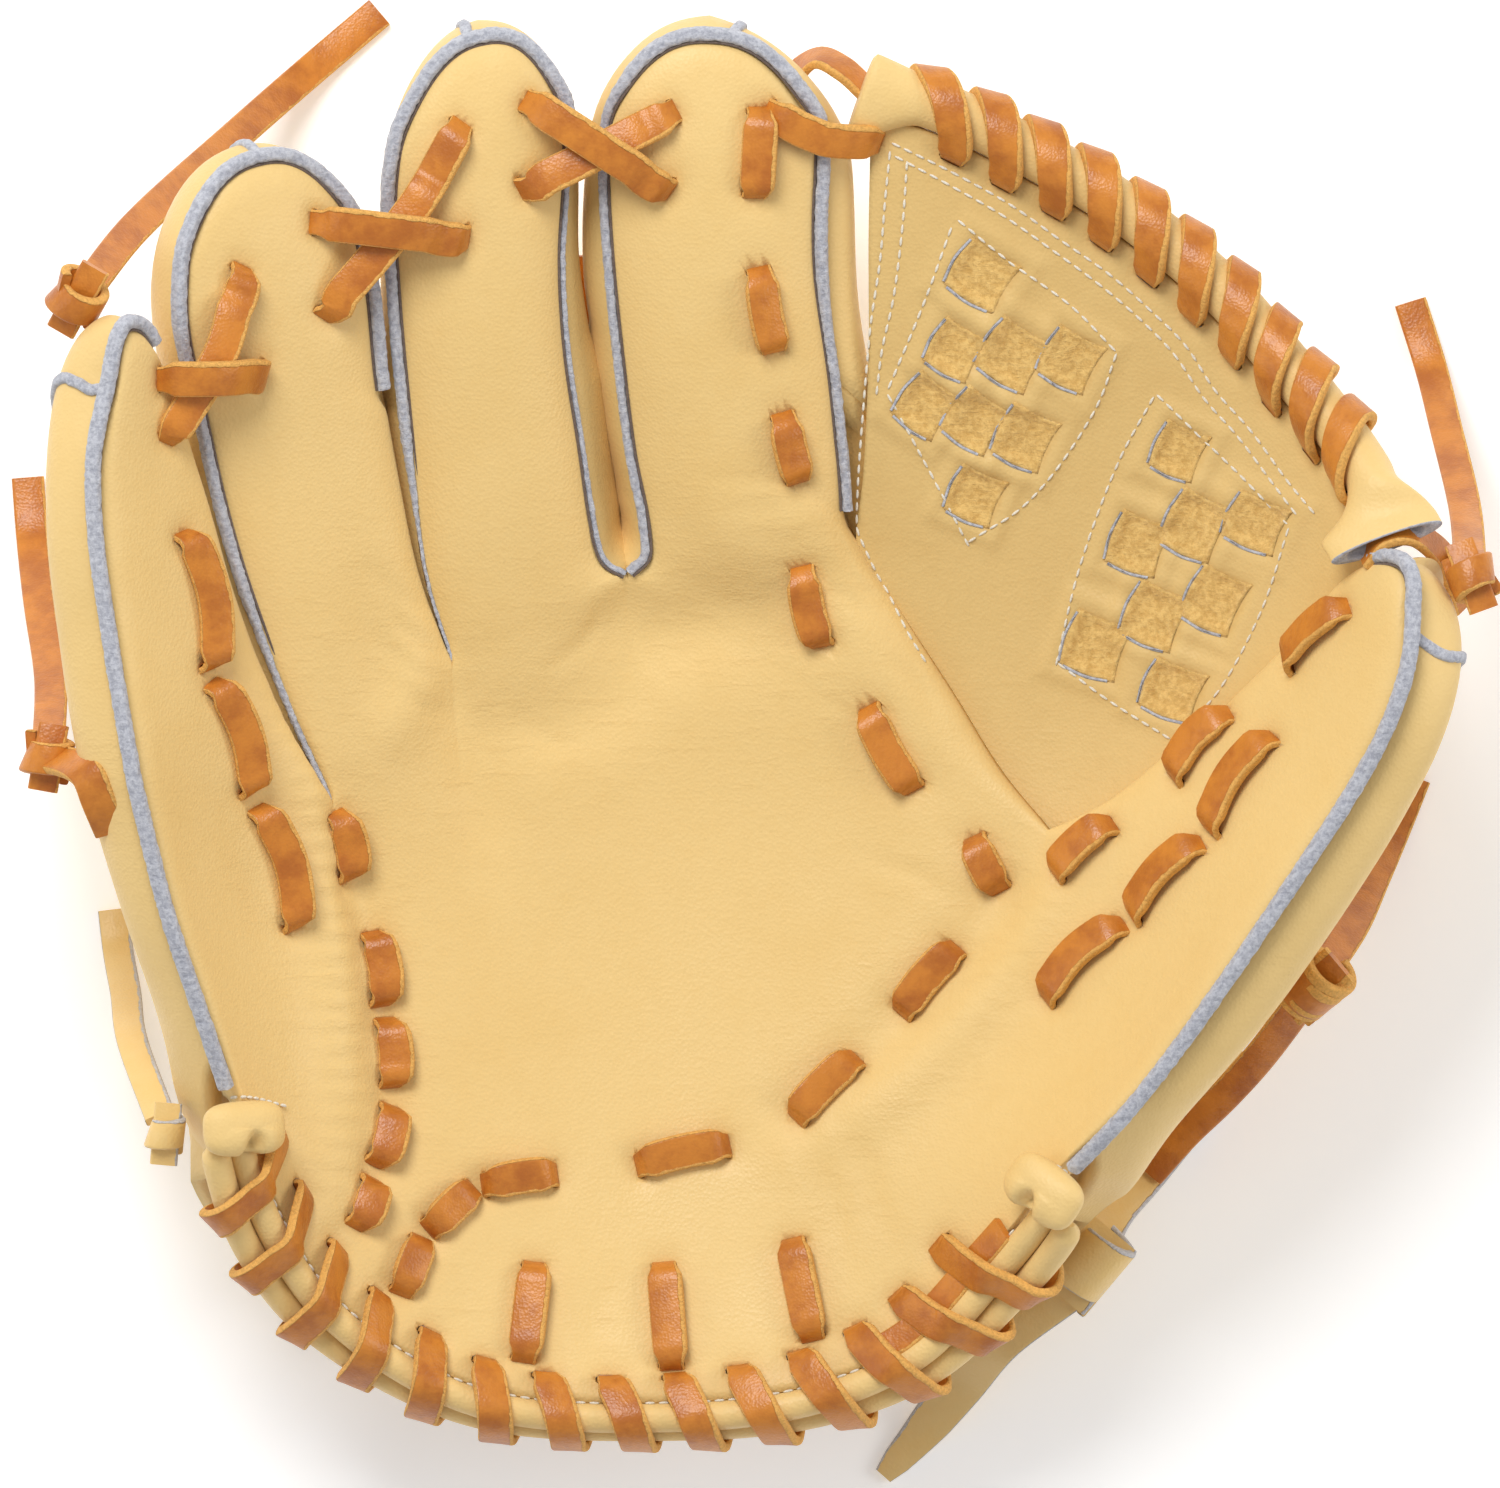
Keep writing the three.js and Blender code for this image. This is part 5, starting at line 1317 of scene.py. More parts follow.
def heel_loop(along):
    inner, outer = roll_point(along, 0), roll_point(along, 1)
    _, rim_out, tangent, rim_up = rim_frame(along)
    out = unit(outer - inner)
    up = unit(np.cross(out, tangent))
    reach = ROLL_RADIUS + LACE_THICKNESS / 2 + 0.35
    droop = math.degrees(math.atan2(-np.dot(out, rim_up), np.dot(out, rim_out)))
    return (round_bar(inner, rim_out, rim_up, reach + 0.2, [120, 90 - 0.25 * droop])
            + round_bar(inner, rim_out, rim_up, reach + 0.15, [max(58 - droop, 8)])
            + round_bar(outer, out, up, reach, [70, 40, 0, -40, -80])
            + round_bar(inner, rim_out, rim_up, reach + 0.5, [-100 - 0.45 * droop]))


def bar_loop(along):
    _, out, _, up = bar_frame(along)
    reach = BAR_RADIUS + LACE_THICKNESS / 2 + 0.35
    return round_bar(bar_middle(along), out, up, reach, [-128, -98, -64, -30, 4, 36, 68, 98, 128])


print("points of a turn:", len(heel_loop(0.5)), len(bar_loop(0.5)))


# %% Wound laces
def wound_path(first, last, turns, hole, shares, back_first, frame_at, loop_at, leather):
    """A lace wound round an edge, with its width directions and the places of its slots."""
    points, sides, places = [], [], []
    over = LACE_THICKNESS / 2 + 0.3
    for turn in range(turns + 1):
        edge, out, tangent, _ = frame_at(mix(first, last, turn / turns))
        place, normal = seat(*(edge - out * hole(turn / turns))[:2])
        side = unit(tangent - normal * np.dot(tangent, normal))
        if turn != (0 if back_first else turns):
            add_hole(place, normal, side, np.cross(normal, side), 2 * HOLE_MARGIN)
        places.append(place)
        passage = [place + normal * level for level in (-(leather + over + 0.6), -0.3, over - 0.4)]
        points += passage[::-1] if back_first else passage
        sides += [side] * 3
        if turn < turns:
            for i, share in enumerate(shares):
                along = mix(first, last, (turn + share) / turns)
                points.append(loop_at(along)[i])
                sides.append(frame_at(along)[2])
    ends = slice(2, None) if back_first else slice(0, -2)
    path, side = smooth_path(points[ends], sides[ends], 1.1)
    return path, side, places


def heel_hole(share):
    """The slots of the heel lie farther in from the rim towards both ends."""
    first, last = HEEL_SLOTS_FARTHER
    return HEEL_SLOTS_IN + (first * (1 - 2 * share) ** 2 if share < 0.5 else last * (2 * share - 1) ** 1.5)


def bar_hole(_):
    return BAR_SLOTS_IN


def wind(name, leans, *winding):
    """Makes a wound lace that leans by so many degrees from its first turn to its last."""
    path, side, places = wound_path(*winding)
    girth = necks(path, places, WOUND_NECK, 2.4)
    lean = leans(np.linspace(0, 1, len(path))) * (girth - WOUND_NECK) / (1 - WOUND_NECK)
    lace_piece(f"{name}_turns", path, leaning(path, side, lean), girth, [name])


wind("heel_lace", lambda share: -20 * np.cos(np.pi * share),
     0.06, 0.93, 14, heel_hole, HEEL_SHARES, False, rim_frame, heel_loop, FRONT_LEATHER)
wind("web_bar_lace", lambda share: 11,
     0.055, 0.9, 10, bar_hole, BAR_SHARES, True, bar_frame, bar_loop, WEB_LEATHER)
print("slots:", len(holes))

# %% [markdown]
# Every slot is cut right through the leather, as an awl and a punch leave it, and the leather is drawn in
# a little round it. The raw wall of a slot shows the grey felt side. All the cutters are one mesh, and one
# Boolean takes them out of a skin.


# %% Leather drawn in
DRAWN_IN = 0.8  # how deep the leather sinks at a slot
DRAWN_REACH = 3.0
# how far the painted shade round a slot reaches
DARK_REACH = 1.9


def draw_in(mesh):
    """Sinks the leather round every slot and paints shade on it there."""
    points = points_of(mesh) / MM + CENTRE
    moved, shade = np.zeros_like(points), np.zeros(len(points), np.float32)
    mesh.attributes["shade"].data.foreach_get("value", shade)
    for place, normal, side, along, _ in holes:
        near = np.flatnonzero(np.linalg.norm(points - place, axis=1) < 4 * DRAWN_REACH)
        local = points[near] - place
        a = np.maximum(np.abs(local @ side) - LACE_WIDTH * 0.2, 0)
        away = a**2 + (local @ along) ** 2
        moved[near] -= np.outer(np.exp(-away / DRAWN_REACH**2) * DRAWN_IN, normal)
        # painted shade in the sunken leather round the slot
        shade[near] = np.maximum(shade[near], 0.6 * np.exp(-away / DARK_REACH**2))
    mesh.vertices.foreach_set("co", world(points + moved).ravel())
    mesh.attributes["shade"].data.foreach_set("value", shade)
    mesh.update()


for mesh in (palm_mesh, web_mesh):
    draw_in(mesh)
print("leather drawn in at", len(holes), "slots")


# %% Cutting the slots
CUTTER_LEVELS = (-9.0, 4.0)  # the ends of a cutter, below and above the leather's face


def slot_cutters():
    vertices, faces = [], []
    for place, normal, side, along, margin in holes:
        wide, tall = (LACE_WIDTH * LACE_NECK + margin) / 2, (LACE_THICKNESS * LACE_NECK + margin) / 2
        ring = [(wide, tall * 0.4), (wide - 0.8, tall), (-wide + 0.8, tall), (-wide, tall * 0.4)]
        ring += [(-a, -b) for a, b in ring]
        first = len(vertices)
        for level in CUTTER_LEVELS:
            vertices += [place + side * a + along * b + normal * level for a, b in ring]
        count = len(ring)
        faces.append([first + i for i in range(count)][::-1])
        faces.append([first + count + i for i in range(count)])
        faces += [[first + i, first + (i + 1) % count, first + count + (i + 1) % count, first + count + i]
                  for i in range(count)]
    return closed_mesh("slot_cutters", vertices, faces)


def with_slots(mesh, material):
    """The skin with every slot cut out of it, under the same name."""
    name = mesh.name
    cutter, skin = in_scene("cutters", slot_cutters()), in_scene("skin", mesh)
    cutter.data.materials.append(grey_felt)
    mesh.materials.append(material)
    boolean = skin.modifiers.new("slots", "BOOLEAN")
    boolean.operation, boolean.solver, boolean.object = "DIFFERENCE", "MANIFOLD", cutter
    boolean.material_mode = "TRANSFER"
    evaluated = skin.evaluated_get(bpy.context.evaluated_depsgraph_get())
    cut = bpy.data.meshes.new_from_object(evaluated)
    skin.modifiers.remove(boolean)
    for thing in (cutter, skin):
        old = thing.data
        bpy.data.objects.remove(thing)
        bpy.data.meshes.remove(old)
    cut.name = name
    return cut


palm_cut, web_cut = with_slots(palm_mesh, palm_leather), with_slots(web_mesh, web_leather)
make_piece("palm_front", palm_cut, [], ["palm_shell"])
make_piece("web_leather_panel", web_cut, [], ["web_panel"])
print("palm front:", len(palm_cut.polygons), "web:", len(web_cut.polygons),
      [material.name for material in palm_cut.materials])

# %% [markdown]
# A welt is a strip of grey felt sewn into the seam, so that the seam stays round and doesn't wear. Each
# runs from the heel or the crotch round the fingertip, with a dark thread in the valley beside it; the
# thread also stands for the shade that falls in that valley, so it is partly painted shade. On
# the back of each stall a second welt joins the two halves of the back leather.


# %% Welts
WELT_HEIGHT = 3.3
WELT_SINK = 1.15  # how far a welt's middle lies below the pocket
THREAD = 0.62


def welt_places(strip):
    """Places (across, row) of a welt: up the left side, round the tip and down the right side."""
    left_from, right_from = strip["welts"]
    left = [(0.0, row) for row in np.arange(left_from, 0.97, 0.045)] if left_from < 1 else []
    right = [(1.0, row) for row in np.arange(right_from, 0.97, 0.045)][::-1] if right_from < 1 else []
    low, high = (0.03 if left else 0.25), (0.97 if right else 0.8)
    return left + [(across, 1.0) for across in np.linspace(low, high, 13)] + right


def spread(places, count):
    """Places (across, row) as two rows of numbers, evenly spread over so many points."""
    at = np.linspace(0, len(places) - 1, count)
    return [np.interp(at, range(len(places)), values) for values in np.transpose(places)]


def seam_path(strip, places, inward, level):
    """A path beside a seam: moved inward over the leather, at a level above the pocket."""
    point, normal = pocket_point(strip, *np.transpose(places))
    way = unit(np.gradient(point, axis=0))
    side = unit(np.cross(way, normal))
    return smooth_path(point + side * inward + normal * level, side, 0.8)


for strip in STRIPS.values():
    name, places = strip["name"], welt_places(strip)
    path, side = seam_path(strip, places, 0, -WELT_SINK)
    across, row = spread(places, len(path))
    slim, tucked = (np.where(across < 0.5, rule(name, 0, row), rule(name, 1, row))
                    for rule in (slimmed, tucked_in))
    path = path + side * ((1 - slim) * WELT_WIDTH / 2)[:, None]
    welt = [(path, side, np.minimum(slim, tucked))]
    strip_piece(f"{name}_felt_welt", welt, (WELT_WIDTH, WELT_HEIGHT, 1.15), grey_felt,
                [f"{name}_welt"], corners=4, fuzz=0.75)
    # painted shade: a dark thread laid in the valley beside the welt, where shade falls
    thread = [(*seam_path(strip, places, WELT_WIDTH / 2 + 0.28, -0.55), 1.0)]
    strip_piece(f"{name}_welt_thread_and_shade", thread, (THREAD, THREAD, 0.29), dark_thread_and_shade)
print("welts of the front:", len(STRIPS))

# %% Welts on the backs
TIP_ROWS = (1.0, 0.985, 0.94, 0.86, 0.7, 0.5, 0.3, 0.1)
BACK_SEAMS = {  # (across, row): where the back welt leaves the fingertip, then on down the back
    "pinky": [(0.0, 0.965), (0.05, 0.955), (0.12, 0.925), (0.2, 0.87), (0.3, 0.78), (0.4, 0.64), (0.48, 0.45),
              (0.5, 0.05)],
    "ring": list(zip((0.52, 0.52, 0.51, 0.5, 0.5, 0.5, 0.5, 0.5), TIP_ROWS)),
    "middle": list(zip((0.42, 0.42, 0.44, 0.47, 0.5, 0.5, 0.5, 0.5), TIP_ROWS)),
    "index": list(zip((0.6, 0.6, 0.58, 0.55, 0.5, 0.5, 0.5, 0.5), TIP_ROWS)),
    "thumb": [(1.0, 0.905), (0.95, 0.895), (0.88, 0.865), (0.8, 0.81), (0.7, 0.72), (0.6, 0.6), (0.52, 0.45),
              (0.5, 0.05)],
}


def back_seam(strip, places, step=0.02):
    across, row = spread(places, 90)

    def beside(aside, onward):
        return back_point(strip, np.clip(across + aside, 0, 1), np.clip(row + onward, -1, 1))

    point = beside(0, 0)
    normal = unit(np.cross(beside(0, step) - beside(0, -step), beside(step, 0) - beside(-step, 0)))
    way = unit(np.gradient(point, axis=0))
    normal = unit(normal - way * np.einsum("ij,ij->i", normal, way)[:, None])
    point = point + normal * 0.15
    point[:, 2] = np.maximum(point[:, 2], 0.9)
    keep = np.concatenate([[True], steps_of(point) > 0.25])
    return smooth_path(point[keep][::3], np.cross(way, normal)[keep][::3], 0.8)


for name, places in BACK_SEAMS.items():
    path, side = back_seam(STRIPS[name], places)
    strip_piece(f"{name}_back_welt", [(path, side, 1.0)], (2.4, 1.8, 0.85), grey_felt, fuzz=0.6)
print("welts of the backs:", len(BACK_SEAMS))

# %% [markdown]
# The heel is closed by two rolls of leather side by side: the rim of the palm and the rolled lining
# under it. They are strips too, with so much rounding that their section is a circle, and their girth
# shrinks near both ends so that the ends are round.


# %% Rolls of the heel
ROLL_ENDS = (0.025, 0.98)  # where the rolls begin and end along the heel
ROUND_END = 0.012  # the share of a roll that either round end takes


def heel_roll(name, node, order):
    shares = np.linspace(*ROLL_ENDS, 90)
    path, side = smooth_path([roll_point(share, order) for share in shares],
                             [rim_frame(share)[1] for share in shares], 1.2)
    share = np.linspace(0, 1, len(shares))
    girth = np.clip(np.minimum(share, 1 - share) / ROUND_END, 0.0, 1)
    girth = np.sqrt(np.clip(1 - (1 - girth) ** 2, 0.05, 1))
    girth = np.interp(np.linspace(0, 1, len(path)), share, girth)
    radius = ROLL_RADIUS + 0.12
    roll = strip_piece(name, [(path, side, girth)], (2 * radius, 2 * radius, radius * 0.97), back_leather,
                       [node], corners=7)
    print(name, len(roll.data.polygons), "faces")


heel_roll("heel_rim_roll", "heel_binding", 0)
heel_roll("heel_lining_roll", "lining_binding", 1)

# %% [markdown]
# The web's top is a fatter roll, and its two ends are different: the laces squeeze it, so it flares out
# flat there, over the web. One number for each end, from 0 to 1, drives the flare, the thickness and the
# shift of the rings that the skin is drawn over. The mouth at the thumb's end is lined with grey felt.

# %% Bar of the web
BAR_RINGS = 150
BAR_SIDES = 40
# At the index's end and at the thumb's end, in millimetres:
FLARES = (4.4, 7.0)  # wider to either side
FLATTER = (1.4, 2.2)
PULLED_IN = (3.0, 4.6)
LIFTED = (2.2, 4.0)
SHIFTED = (np.array([-2.0, 1.2, 0.0]), np.array([1.8, 2.6, 0.0]))
THUMB_END_WAY = unit([0.93, 0.34, 0.05])  # the way in which the thumb's end is wide
MOUTH = ((0.995, 0.25), (0.8, 0.1), (0.66, -0.8), (0.6, -4.0))  # scale and depth of its rings


def scaled(ring, scale, shift):
    return ring.mean(0) + (ring - ring.mean(0)) * scale + shift


def bar_rings():
    angles = np.linspace(0, 2 * np.pi, BAR_SIDES + 1)[:-1]
    rings = []
    for share in np.linspace(-0.005, 1.015, BAR_RINGS):
        inside = min(max(share, 0.0), 1.0)
        edge, out, tangent, up = bar_frame(inside)
        left, right = 1 - ease(share, -0.01, 0.075), ease(share, 0.9, 0.99)
        flare, flatter, pulled, lifted = (
            a * left + b * right for a, b in (FLARES, FLATTER, PULLED_IN, LIFTED))
        wide = unit(mix(out, THUMB_END_WAY, right))
        raised = unit(np.cross(wide, tangent)) * np.sign(np.dot(np.cross(wide, tangent), up))
        middle = edge + tangent * (share - inside) * WEB_TOP.length
        middle = middle + out * (CLEARANCE + BAR_RADIUS - pulled) + up * lifted
        middle = middle + SHIFTED[1] * ease(share, 0.92, 1.0) + SHIFTED[0] * left
        across = np.sign(np.cos(angles)) * np.abs(np.cos(angles)) ** 0.9 * (BAR_RADIUS + flare)
        rings.append(middle + across[:, None] * wide
                     + np.outer(np.sin(angles) * (BAR_RADIUS - flatter), raised))
    start = scaled(rings[0], 0.9, bar_frame(0.0)[2] * -0.6)
    mouth = [scaled(rings[-1], scale, bar_frame(1.0)[2] * depth) for scale, depth in MOUTH]
    return [start, *rings, *mouth]


def ring_skin(name, rings, ends=None):
    """A closed mesh over rings of points, with a fan of faces to a point at either end."""
    count = len(rings[0])
    vertices = np.concatenate([*rings, ends or (rings[0].mean(0), rings[-1].mean(0))])
    first, last = len(vertices) - 2, len(vertices) - 1
    around = [(j, (j + 1) % count) for j in range(count)]
    faces = [[start + j, start + k, start + count + k, start + count + j]
             for start in range(0, (len(rings) - 1) * count, count) for j, k in around]
    faces += [[first, k, j] for j, k in around]
    faces += [[last, last - 1 - count + j, last - 1 - count + k] for j, k in around]
    return closed_mesh(name, vertices, faces)


bar_mesh = ring_skin("web_top_roll", bar_rings())
make_piece("web_top_roll", bar_mesh, [palm_leather, grey_felt], ["web_bar"])
mouth_faces = BAR_RINGS * BAR_SIDES
for polygon in bar_mesh.polygons[mouth_faces:mouth_faces + len(MOUTH) * BAR_SIDES]:
    polygon.material_index = 1
print("web top roll:", len(bar_mesh.polygons), "faces")

# %% [markdown]
# The wrist strap crosses the open back under the heel. It is a wall that follows the hand space's depth.


# %% Wrist strap
STRAP_ROWS = (-0.94, -0.74)
STRAP_OVERLAP = 0.6  # how far the strap passes the ring's and the index's outer sides


def strap_grid(strip):
    across, row = np.meshgrid(np.linspace(0, 1, 14), np.linspace(*STRAP_ROWS, 12))
    insets = tuple(np.full_like(row, -STRAP_OVERLAP * (strip["name"] == end)) for end in ("ring", "index"))
    point, normal = pocket_point(strip, across, row, insets)
    point = point - normal * room_depth(strip, across, row)[..., None]
    point[..., 2] = np.maximum(point[..., 2], 0)
    return point, point + normal * BACK_LEATHER


strap_grids = [strap_grid(STRIPS[name]) for name in ("ring", "middle", "index")]
strap_mesh = wall_mesh("wrist_strap_leather", strap_grids)
make_piece("wrist_strap_leather", strap_mesh, [back_leather], ["wrist_strap"])
print("wrist strap:", len(strap_mesh.polygons), "faces")

# %% [markdown]
# A folded pad of leather covers the lower end of each outer welt. It is a small pillow: a rounded box
# whose sides pull in, with a dimple where the leather is gathered.


# %% End caps
def power(value, exponent):
    return np.sign(value) * np.abs(value) ** exponent


def end_cap(name, middle, turn, size, dimple):
    """A pad at a place seen from above. The dimple's place is in half sizes from the middle."""
    x, y = middle
    normal = unit(0.5 * pocket_normal(x, y) + 0.5 * UP)
    across = np.array([*cos_sin(turn), 0])
    across = unit(across - normal * np.dot(across, normal))
    along = np.cross(normal, across)
    place = np.array([x, y, float(pocket_height(x, y))]) + normal * (size[2] / 2 - 0.6)
    turns, rises = np.meshgrid(np.linspace(0, 2 * np.pi, 57)[:-1], np.linspace(-np.pi / 2, np.pi / 2, 29))
    a = power(np.cos(rises), 0.9) * power(np.cos(turns), 0.62)
    b = power(np.cos(rises), 0.9) * power(np.sin(turns), 0.62)
    c = power(np.sin(rises), 0.9)
    da, db = a - dimple[0], b - dimple[1]
    pinch = np.exp(-((da / 0.16) ** 2 + (db / 0.4) ** 2)) * (c > -0.2)
    c = c - 1.1 * pinch
    c = c + 0.12 * np.exp(-(((np.abs(da) - 0.42) / 0.2) ** 2)) * (b * dimple[1] > 0) * (c > 0)
    b = b * (1 - 0.22 * np.exp(-((da / 0.18) ** 2)) * (b * dimple[1] > 0))
    local = np.stack([a * size[0] / 2, b * size[1] / 2, c * size[2] / 2], -1)
    points = place + local[..., :1] * across + local[..., 1:2] * along + local[..., 2:] * normal
    mesh = ring_skin(name, list(points[1:-1]), (points[0].mean(0), points[-1].mean(0)))
    cap = make_piece(name, mesh, [palm_leather], [name.replace("_pad", "")])
    print(name, len(mesh.polygons), "faces")


end_cap("pinky_end_cap_pad", (-106.6, -79.8), 4, (18.8, 11.4, 8.2), (0.1, -0.72))
end_cap("thumb_end_cap_pad", (62.6, -93), -32, (18.2, 12.0, 8.2), (-0.1, -0.7))

# %% [markdown]
# Stitches are the same small thing hundreds of times, so a node tree places them: it reads a guide mesh
# whose points are the middles of the stitches, turns a small grain of thread along each one, and makes
# them real. Each grain has only a few dozen faces.


# %% The stitch tree
def stitch_tree():
    tree = new_tree("stitches_on_points", [
        ("Length", "NodeSocketFloat"), ("Thickness", "NodeSocketFloat"), ("Material", "NodeSocketMaterial")])
    asked = grow(tree, "NodeGroupInput").outputs
    along = named(tree, "along", "FLOAT_VECTOR")
    turn = grow(tree, "FunctionNodeAlignRotationToVector", {"Vector": along}, axis="X").outputs[0]
    grain = grow(tree, "GeometryNodeMeshUVSphere", {"Segments": 7, "Rings": 6, "Radius": 0.5}).outputs[0]
    size = grow(tree, "ShaderNodeCombineXYZ",
                {0: asked["Length"], 1: asked["Thickness"], 2: asked["Thickness"]}).outputs[0]
    spots = grow(tree, "GeometryNodeMeshToPoints", {"Mesh": asked["Geometry"]}).outputs[0]
    placed = grow(tree, "GeometryNodeInstanceOnPoints",
                  {"Points": spots, "Instance": grain, "Rotation": turn, "Scale": size}).outputs[0]
    real = grow(tree, "GeometryNodeRealizeInstances", {"Geometry": placed}).outputs[0]
    smooth = grow(tree, "GeometryNodeSetShadeSmooth", {"Geometry": real}).outputs[0]
    dressed = grow(tree, "GeometryNodeSetMaterial", {"Geometry": smooth, "Material": asked["Material"]})
    grow(tree, "NodeGroupOutput", {0: dressed.outputs[0]})
    return tree


STITCH_TREE = stitch_tree()


def sew(name, rows, length, thickness, pitch):
    """Stitches on rows of places that already lie on the leather."""
    middles, ways = [], []
    for row in rows:
        line = Line([tuple(point) for point in row])
        shares = np.arange(pitch / 2, line.length, pitch) / line.length
        middles.extend(world(line.at(shares)).tolist())
        ways.extend(line.way(shares).tolist())
    guide = bpy.data.meshes.new(f"{name}_spots")
    guide.from_pydata(middles, [], [])
    guide.attributes.new("along", "FLOAT_VECTOR", "POINT").data.foreach_set("vector", np.ravel(ways))
    mesh = grown_mesh(name, guide, STITCH_TREE,
                      {"Length": length * MM, "Thickness": thickness * MM, "Material": white_thread})
    make_piece(name, mesh, [])
    print(name, len(middles), "stitches")


# %% [markdown]
# The web's seams were measured in the picture, so their table is in its pixels. One pixel is 0.208 mm
# where the glove lies, and the picture's middle is the middle of the tables.

# %% Stitches of the web
PICTURE_MIDDLE = (750, 744)
PIXEL = 0.208


def seen(*places):
    """Pixels of the picture, 1500 by 1488, as millimetres seen from above."""
    return [((x - PICTURE_MIDDLE[0]) * PIXEL, (PICTURE_MIDDLE[1] - y) * PIXEL) for x, y in places]


def laid(places, lift=0.12, step=2.0):
    """A path over the leather through places seen from above."""
    line = Line(places)
    path = []
    for x, y, _ in line.at(np.linspace(0, 1, max(4, int(line.length / step)))):
        hit = first_hit(x, y)
        if hit is not None:
            path.append(hit[0] + hit[1] * lift)
    return path


GROUNDS = [tree_of(palm_cut), tree_of(web_cut)]
WEB_SEAMS = [
    seen((890, 143), (950, 172), (1010, 205), (1060, 240), (1110, 275), (1150, 310), (1185, 345), (1215, 390),
         (1250, 430), (1290, 485), (1312, 512)),
    seen((893, 156), (950, 186), (1003, 216), (1052, 250), (1100, 285), (1140, 319), (1174, 354), (1204, 398),
         (1239, 438), (1278, 491), (1300, 520)),
    seen((890, 150), (885, 200), (880, 260), (870, 330), (865, 400), (858, 470), (856, 520), (871, 560),
         (890, 596), (908, 632), (925, 660)),
    seen((907, 160), (902, 230), (893, 300), (882, 350), (876, 400)),
    seen((952, 226), (925, 300), (887, 392)), seen((887, 392), (930, 470), (968, 542)),
    seen((968, 542), (1030, 500), (1095, 410), (1117, 352)),
    seen((1117, 352), (1070, 305), (1010, 262), (955, 218)),
    seen((1155, 395), (1120, 460), (1080, 570), (1058, 662)), seen((1058, 662), (1110, 700), (1170, 738)),
    seen((1180, 735), (1220, 690), (1262, 610), (1288, 530)), seen((1288, 525), (1240, 475), (1160, 397)),
]
sew("web_stitches", [laid(row) for row in WEB_SEAMS], 2.2, 0.6, 2.75)

# %% [markdown]
# The heel's seam joins the palm to its roll, and a row of stitches holds each end cap.

# %% Heel and cap stitches
rim_row = []
for share in np.linspace(0.1, 0.93, 120):
    edge, out, _, up = rim_frame(share)
    rim_row.append(edge + out * 0.35 + up * 0.75)
sew("heel_stitches", [rim_row], 2.3, 0.62, 2.9)


def raised(places, lift):
    """A row of stitches on an end cap, which stands so far above the palm."""
    return [np.array(point) + UP * lift for point in laid(seen(*places), 0.1, 1.2)]


sew("end_cap_stitches", [raised(((206, 1101), (245, 1096), (286, 1106)), 0.7),
                         raised(((1021, 1163), (1056, 1165), (1086, 1193)), 1.6)], 1.9, 0.8, 2.3)

# %% [markdown]
# The suede squares show where the woven strips come up through the slits. Each is a small cushion of its
# own that follows the web, with a rough nap, and the slit's grey edge shows along two of its sides.

# %% Suede squares
SUEDE_REACH = 0.58  # half a square's size with its hem, as a share of its size
rough = np.random.default_rng(7)


def suede_square(number, square):
    x, y, turn, wide, tall = square
    c, s = cos_sin(turn)
    a, b = np.meshgrid(np.linspace(-1, 1, 17), np.linspace(-1, 1, 17))
    dx = a * wide * SUEDE_REACH - 0.07 * wide * (1 - b**2)
    dy = b * tall * SUEDE_REACH - 0.05 * tall * (1 - a**2)
    px, py = x + dx * c - dy * s, y + dx * s + dy * c
    face = np.zeros((*a.shape, 3))
    normal = np.zeros_like(face)
    for i in range(a.shape[0]):
        for j in range(a.shape[1]):
            hit = first_hit(px[i, j], py[i, j])
            face[i, j], normal[i, j] = hit if hit is not None else (face[i, j - 1], normal[i, j - 1])
    edge = np.maximum(np.abs(a), np.abs(b))
    height = 0.75 * (1 - edge**4) + 0.12 + rough.normal(0, 0.035, a.shape) * (edge < 0.95)
    top = face + UP * height[..., None]
    return wall_mesh(f"suede_square_{number}", [(top, face - UP * 0.5)])


suede = [suede_square(number, square) for number, square in enumerate(SUEDE_SQUARES, 1)]
for mesh in suede:
    make_piece(mesh.name, mesh, [gold_suede])
SLIT_EDGES = (((-0.59, 0.5), (-0.67, 0.0), (-0.61, -0.54)), ((-0.5, -0.61), (0.0, -0.66), (0.44, -0.6)))
edges = []
for x, y, turn, wide, tall in SUEDE_SQUARES:
    c, s = cos_sin(turn)
    for ends in SLIT_EDGES:
        corners = [(x + a * wide * c - b * tall * s, y + a * wide * s + b * tall * c) for a, b in ends]
        path = np.array(laid(corners, 0.15, 0.8))
        if len(path) > 3:
            edges.append((path, np.tile(UP, (len(path), 1)), 1.0))
strip_piece("slit_edges", edges, (0.5, 0.6, 0.3), grey_felt, corners=2, fuzz=0.3)
print("suede squares:", len(suede), "slit edges:", len(edges))

# %% [markdown]
# A few short runs of lace show in the photograph between the pieces: behind the index fingertip, in the
# gap beside it, round the thumb's tip, beside the pinky's knot, and under the windings of the heel.

# %% Short runs of lace
pinky_tree = tree_of(bpy.data.objects["pinky_back_leather"].data)


def short_lace(name, places, ways, girth=1.0):
    path, side = smooth_path(places, unit(ways), 0.9)
    lace_piece(name, path, side, girth)
    print(name, round(float(steps_of(path).sum())), "mm")


def on_pinky(x, y, level):
    """A place just over the pinky's back, moved towards the pocket until it has the leather under it."""
    for step in range(20):
        hit = pinky_tree.ray_cast(Vector(world([x + step, y, SKY])), DOWN)
        if hit[0] is not None:
            return np.array([x + step, y, hit[0].z / MM + level])


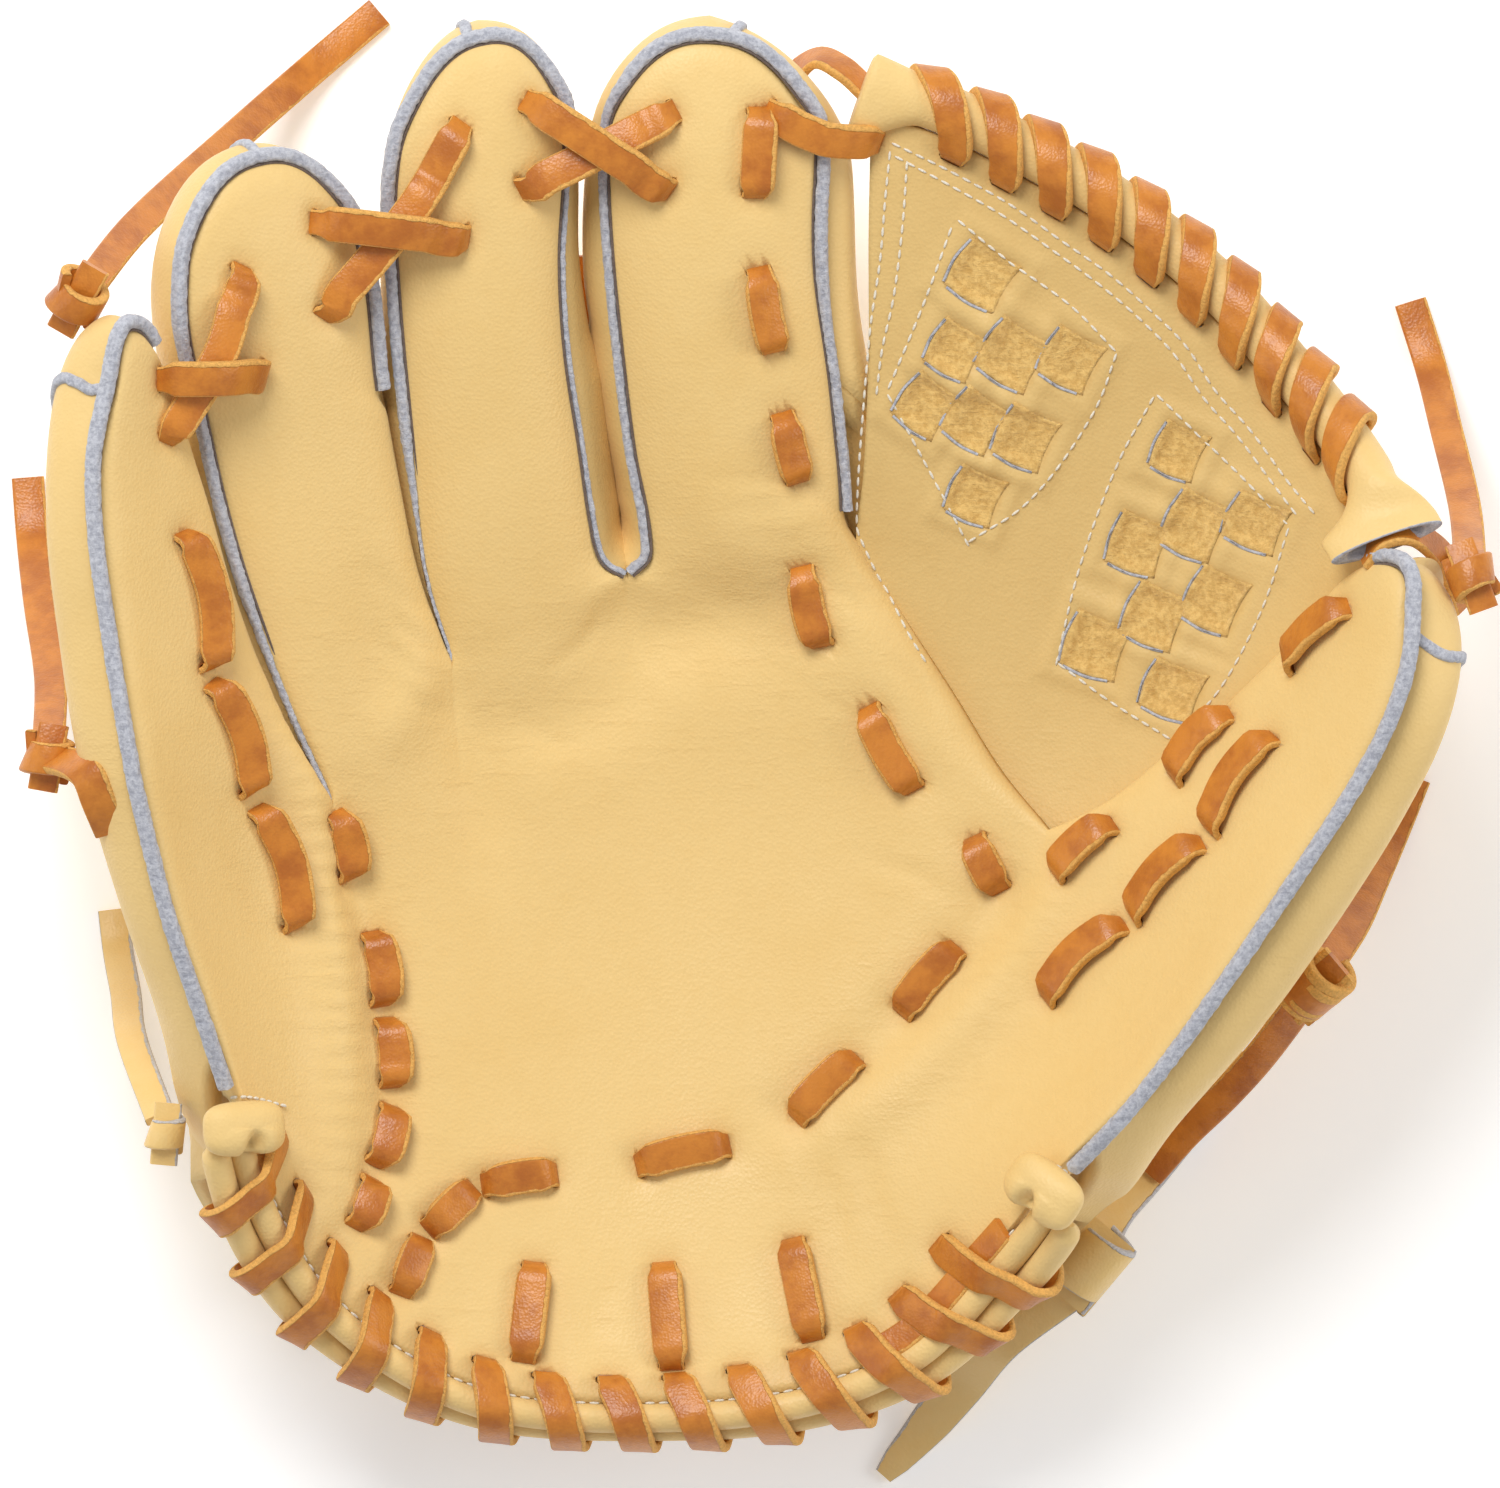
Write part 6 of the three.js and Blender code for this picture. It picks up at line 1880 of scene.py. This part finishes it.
short_lace("index_tip_loop",
           [(7, 134, 50), (10, 140, 56), (14.5, 142.6, 61), (19.5, 140.2, 65), (24.5, 135.6, 66)],
           [(0.5, -0.3, 1), (0.4, -0.3, 1), (0, -0.5, 1), (-0.4, -0.6, 0.8), (-0.5, -0.5, 0.8)], 0.9)
short_lace("index_gap_lace", [(-34.4, 102, 40), (-34.2, 93, 38), (-33.8, 84, 37)], [(1, 0, 0)] * 3, 0.7)
short_lace("thumb_tip_loop",
           [(127, 38, 84), (131, 42.5, 86), (136.5, 43.5, 85), (142, 40.5, 80), (146, 35, 73),
            (148.5, 29, 66)],
           [(0.3, -0.6, 1), (0.1, -0.7, 1), (-0.2, -0.7, 1), (-0.5, -0.7, 1), (-0.6, -0.5, 0.8),
            (-0.7, -0.3, 0.6)], 0.9)
short_lace("pinky_side_run", [knot_frame("pinky_side")[0], on_pinky(-137, -6, 1.4),
                              on_pinky(-134.5, -12, 1.2), on_pinky(-132, -18, -2.0)], [(1, 0.5, 0.3)] * 4)
rims = [rim_frame(share) for share in np.linspace(0.75, 0.925, 16)]
short_lace("heel_running_lace", [edge - out * 1.2 + up * 1.35 for edge, out, _, up in rims],
           [out for _, out, _, _ in rims], 0.85)

# %% [markdown]
# The light is plain: a pale floor, one large soft light above and beyond the fingers, a fill at either
# side and an even white sky. The floor glows a little, as the blank ground of a shop picture does.


# %% Floor and light
def soft_light(name, place, size, power, aim=(0, 0, 0.05)):
    data = bpy.data.lights.new(name, "AREA")
    data.shape, data.size, data.energy = "DISK", size, power
    light = in_scene(name, data)
    light.location = place
    light.rotation_euler = (Vector(aim) - Vector(place)).to_track_quat("-Z", "Y").to_euler()


floor_mesh = bpy.data.meshes.new("floor")
floor_mesh.from_pydata([(-4, -4, 0), (4, -4, 0), (4, 4, 0), (-4, 4, 0)], [], [(0, 1, 2, 3)])
floor = in_scene("floor", floor_mesh)
floor_recipe = Recipe("pale_floor", roughness=0.9, specular=0.1)
floor_recipe.shader.inputs["Emission Color"].default_value = (1, 1, 1, 1)
floor_recipe.shader.inputs["Emission Strength"].default_value = 0.22
clouds = floor_recipe.noise(3.0, 2)
floor_mesh.materials.append(floor_recipe.finish(
    floor_recipe.blend(clouds, (0.97, 0.97, 0.97, 1), (0.95, 0.95, 0.95, 1))))
soft_light("overhead", (-0.35, 0.85, 1.3), 0.75, 17)
soft_light("left_fill", (-1.5, -0.1, 0.7), 0.8, 2.4)
soft_light("right_fill", (1.4, 0.0, 0.75), 0.8, 6.0)
world_light = bpy.data.worlds.new("studio")
world_light.use_nodes = True
sky = world_light.node_tree.nodes["Background"].inputs
sky["Color"].default_value, sky["Strength"].default_value = (1, 1, 1, 1), 0.48
bpy.context.scene.world = world_light
print("lights:", len(bpy.data.lights))

# %% [markdown]
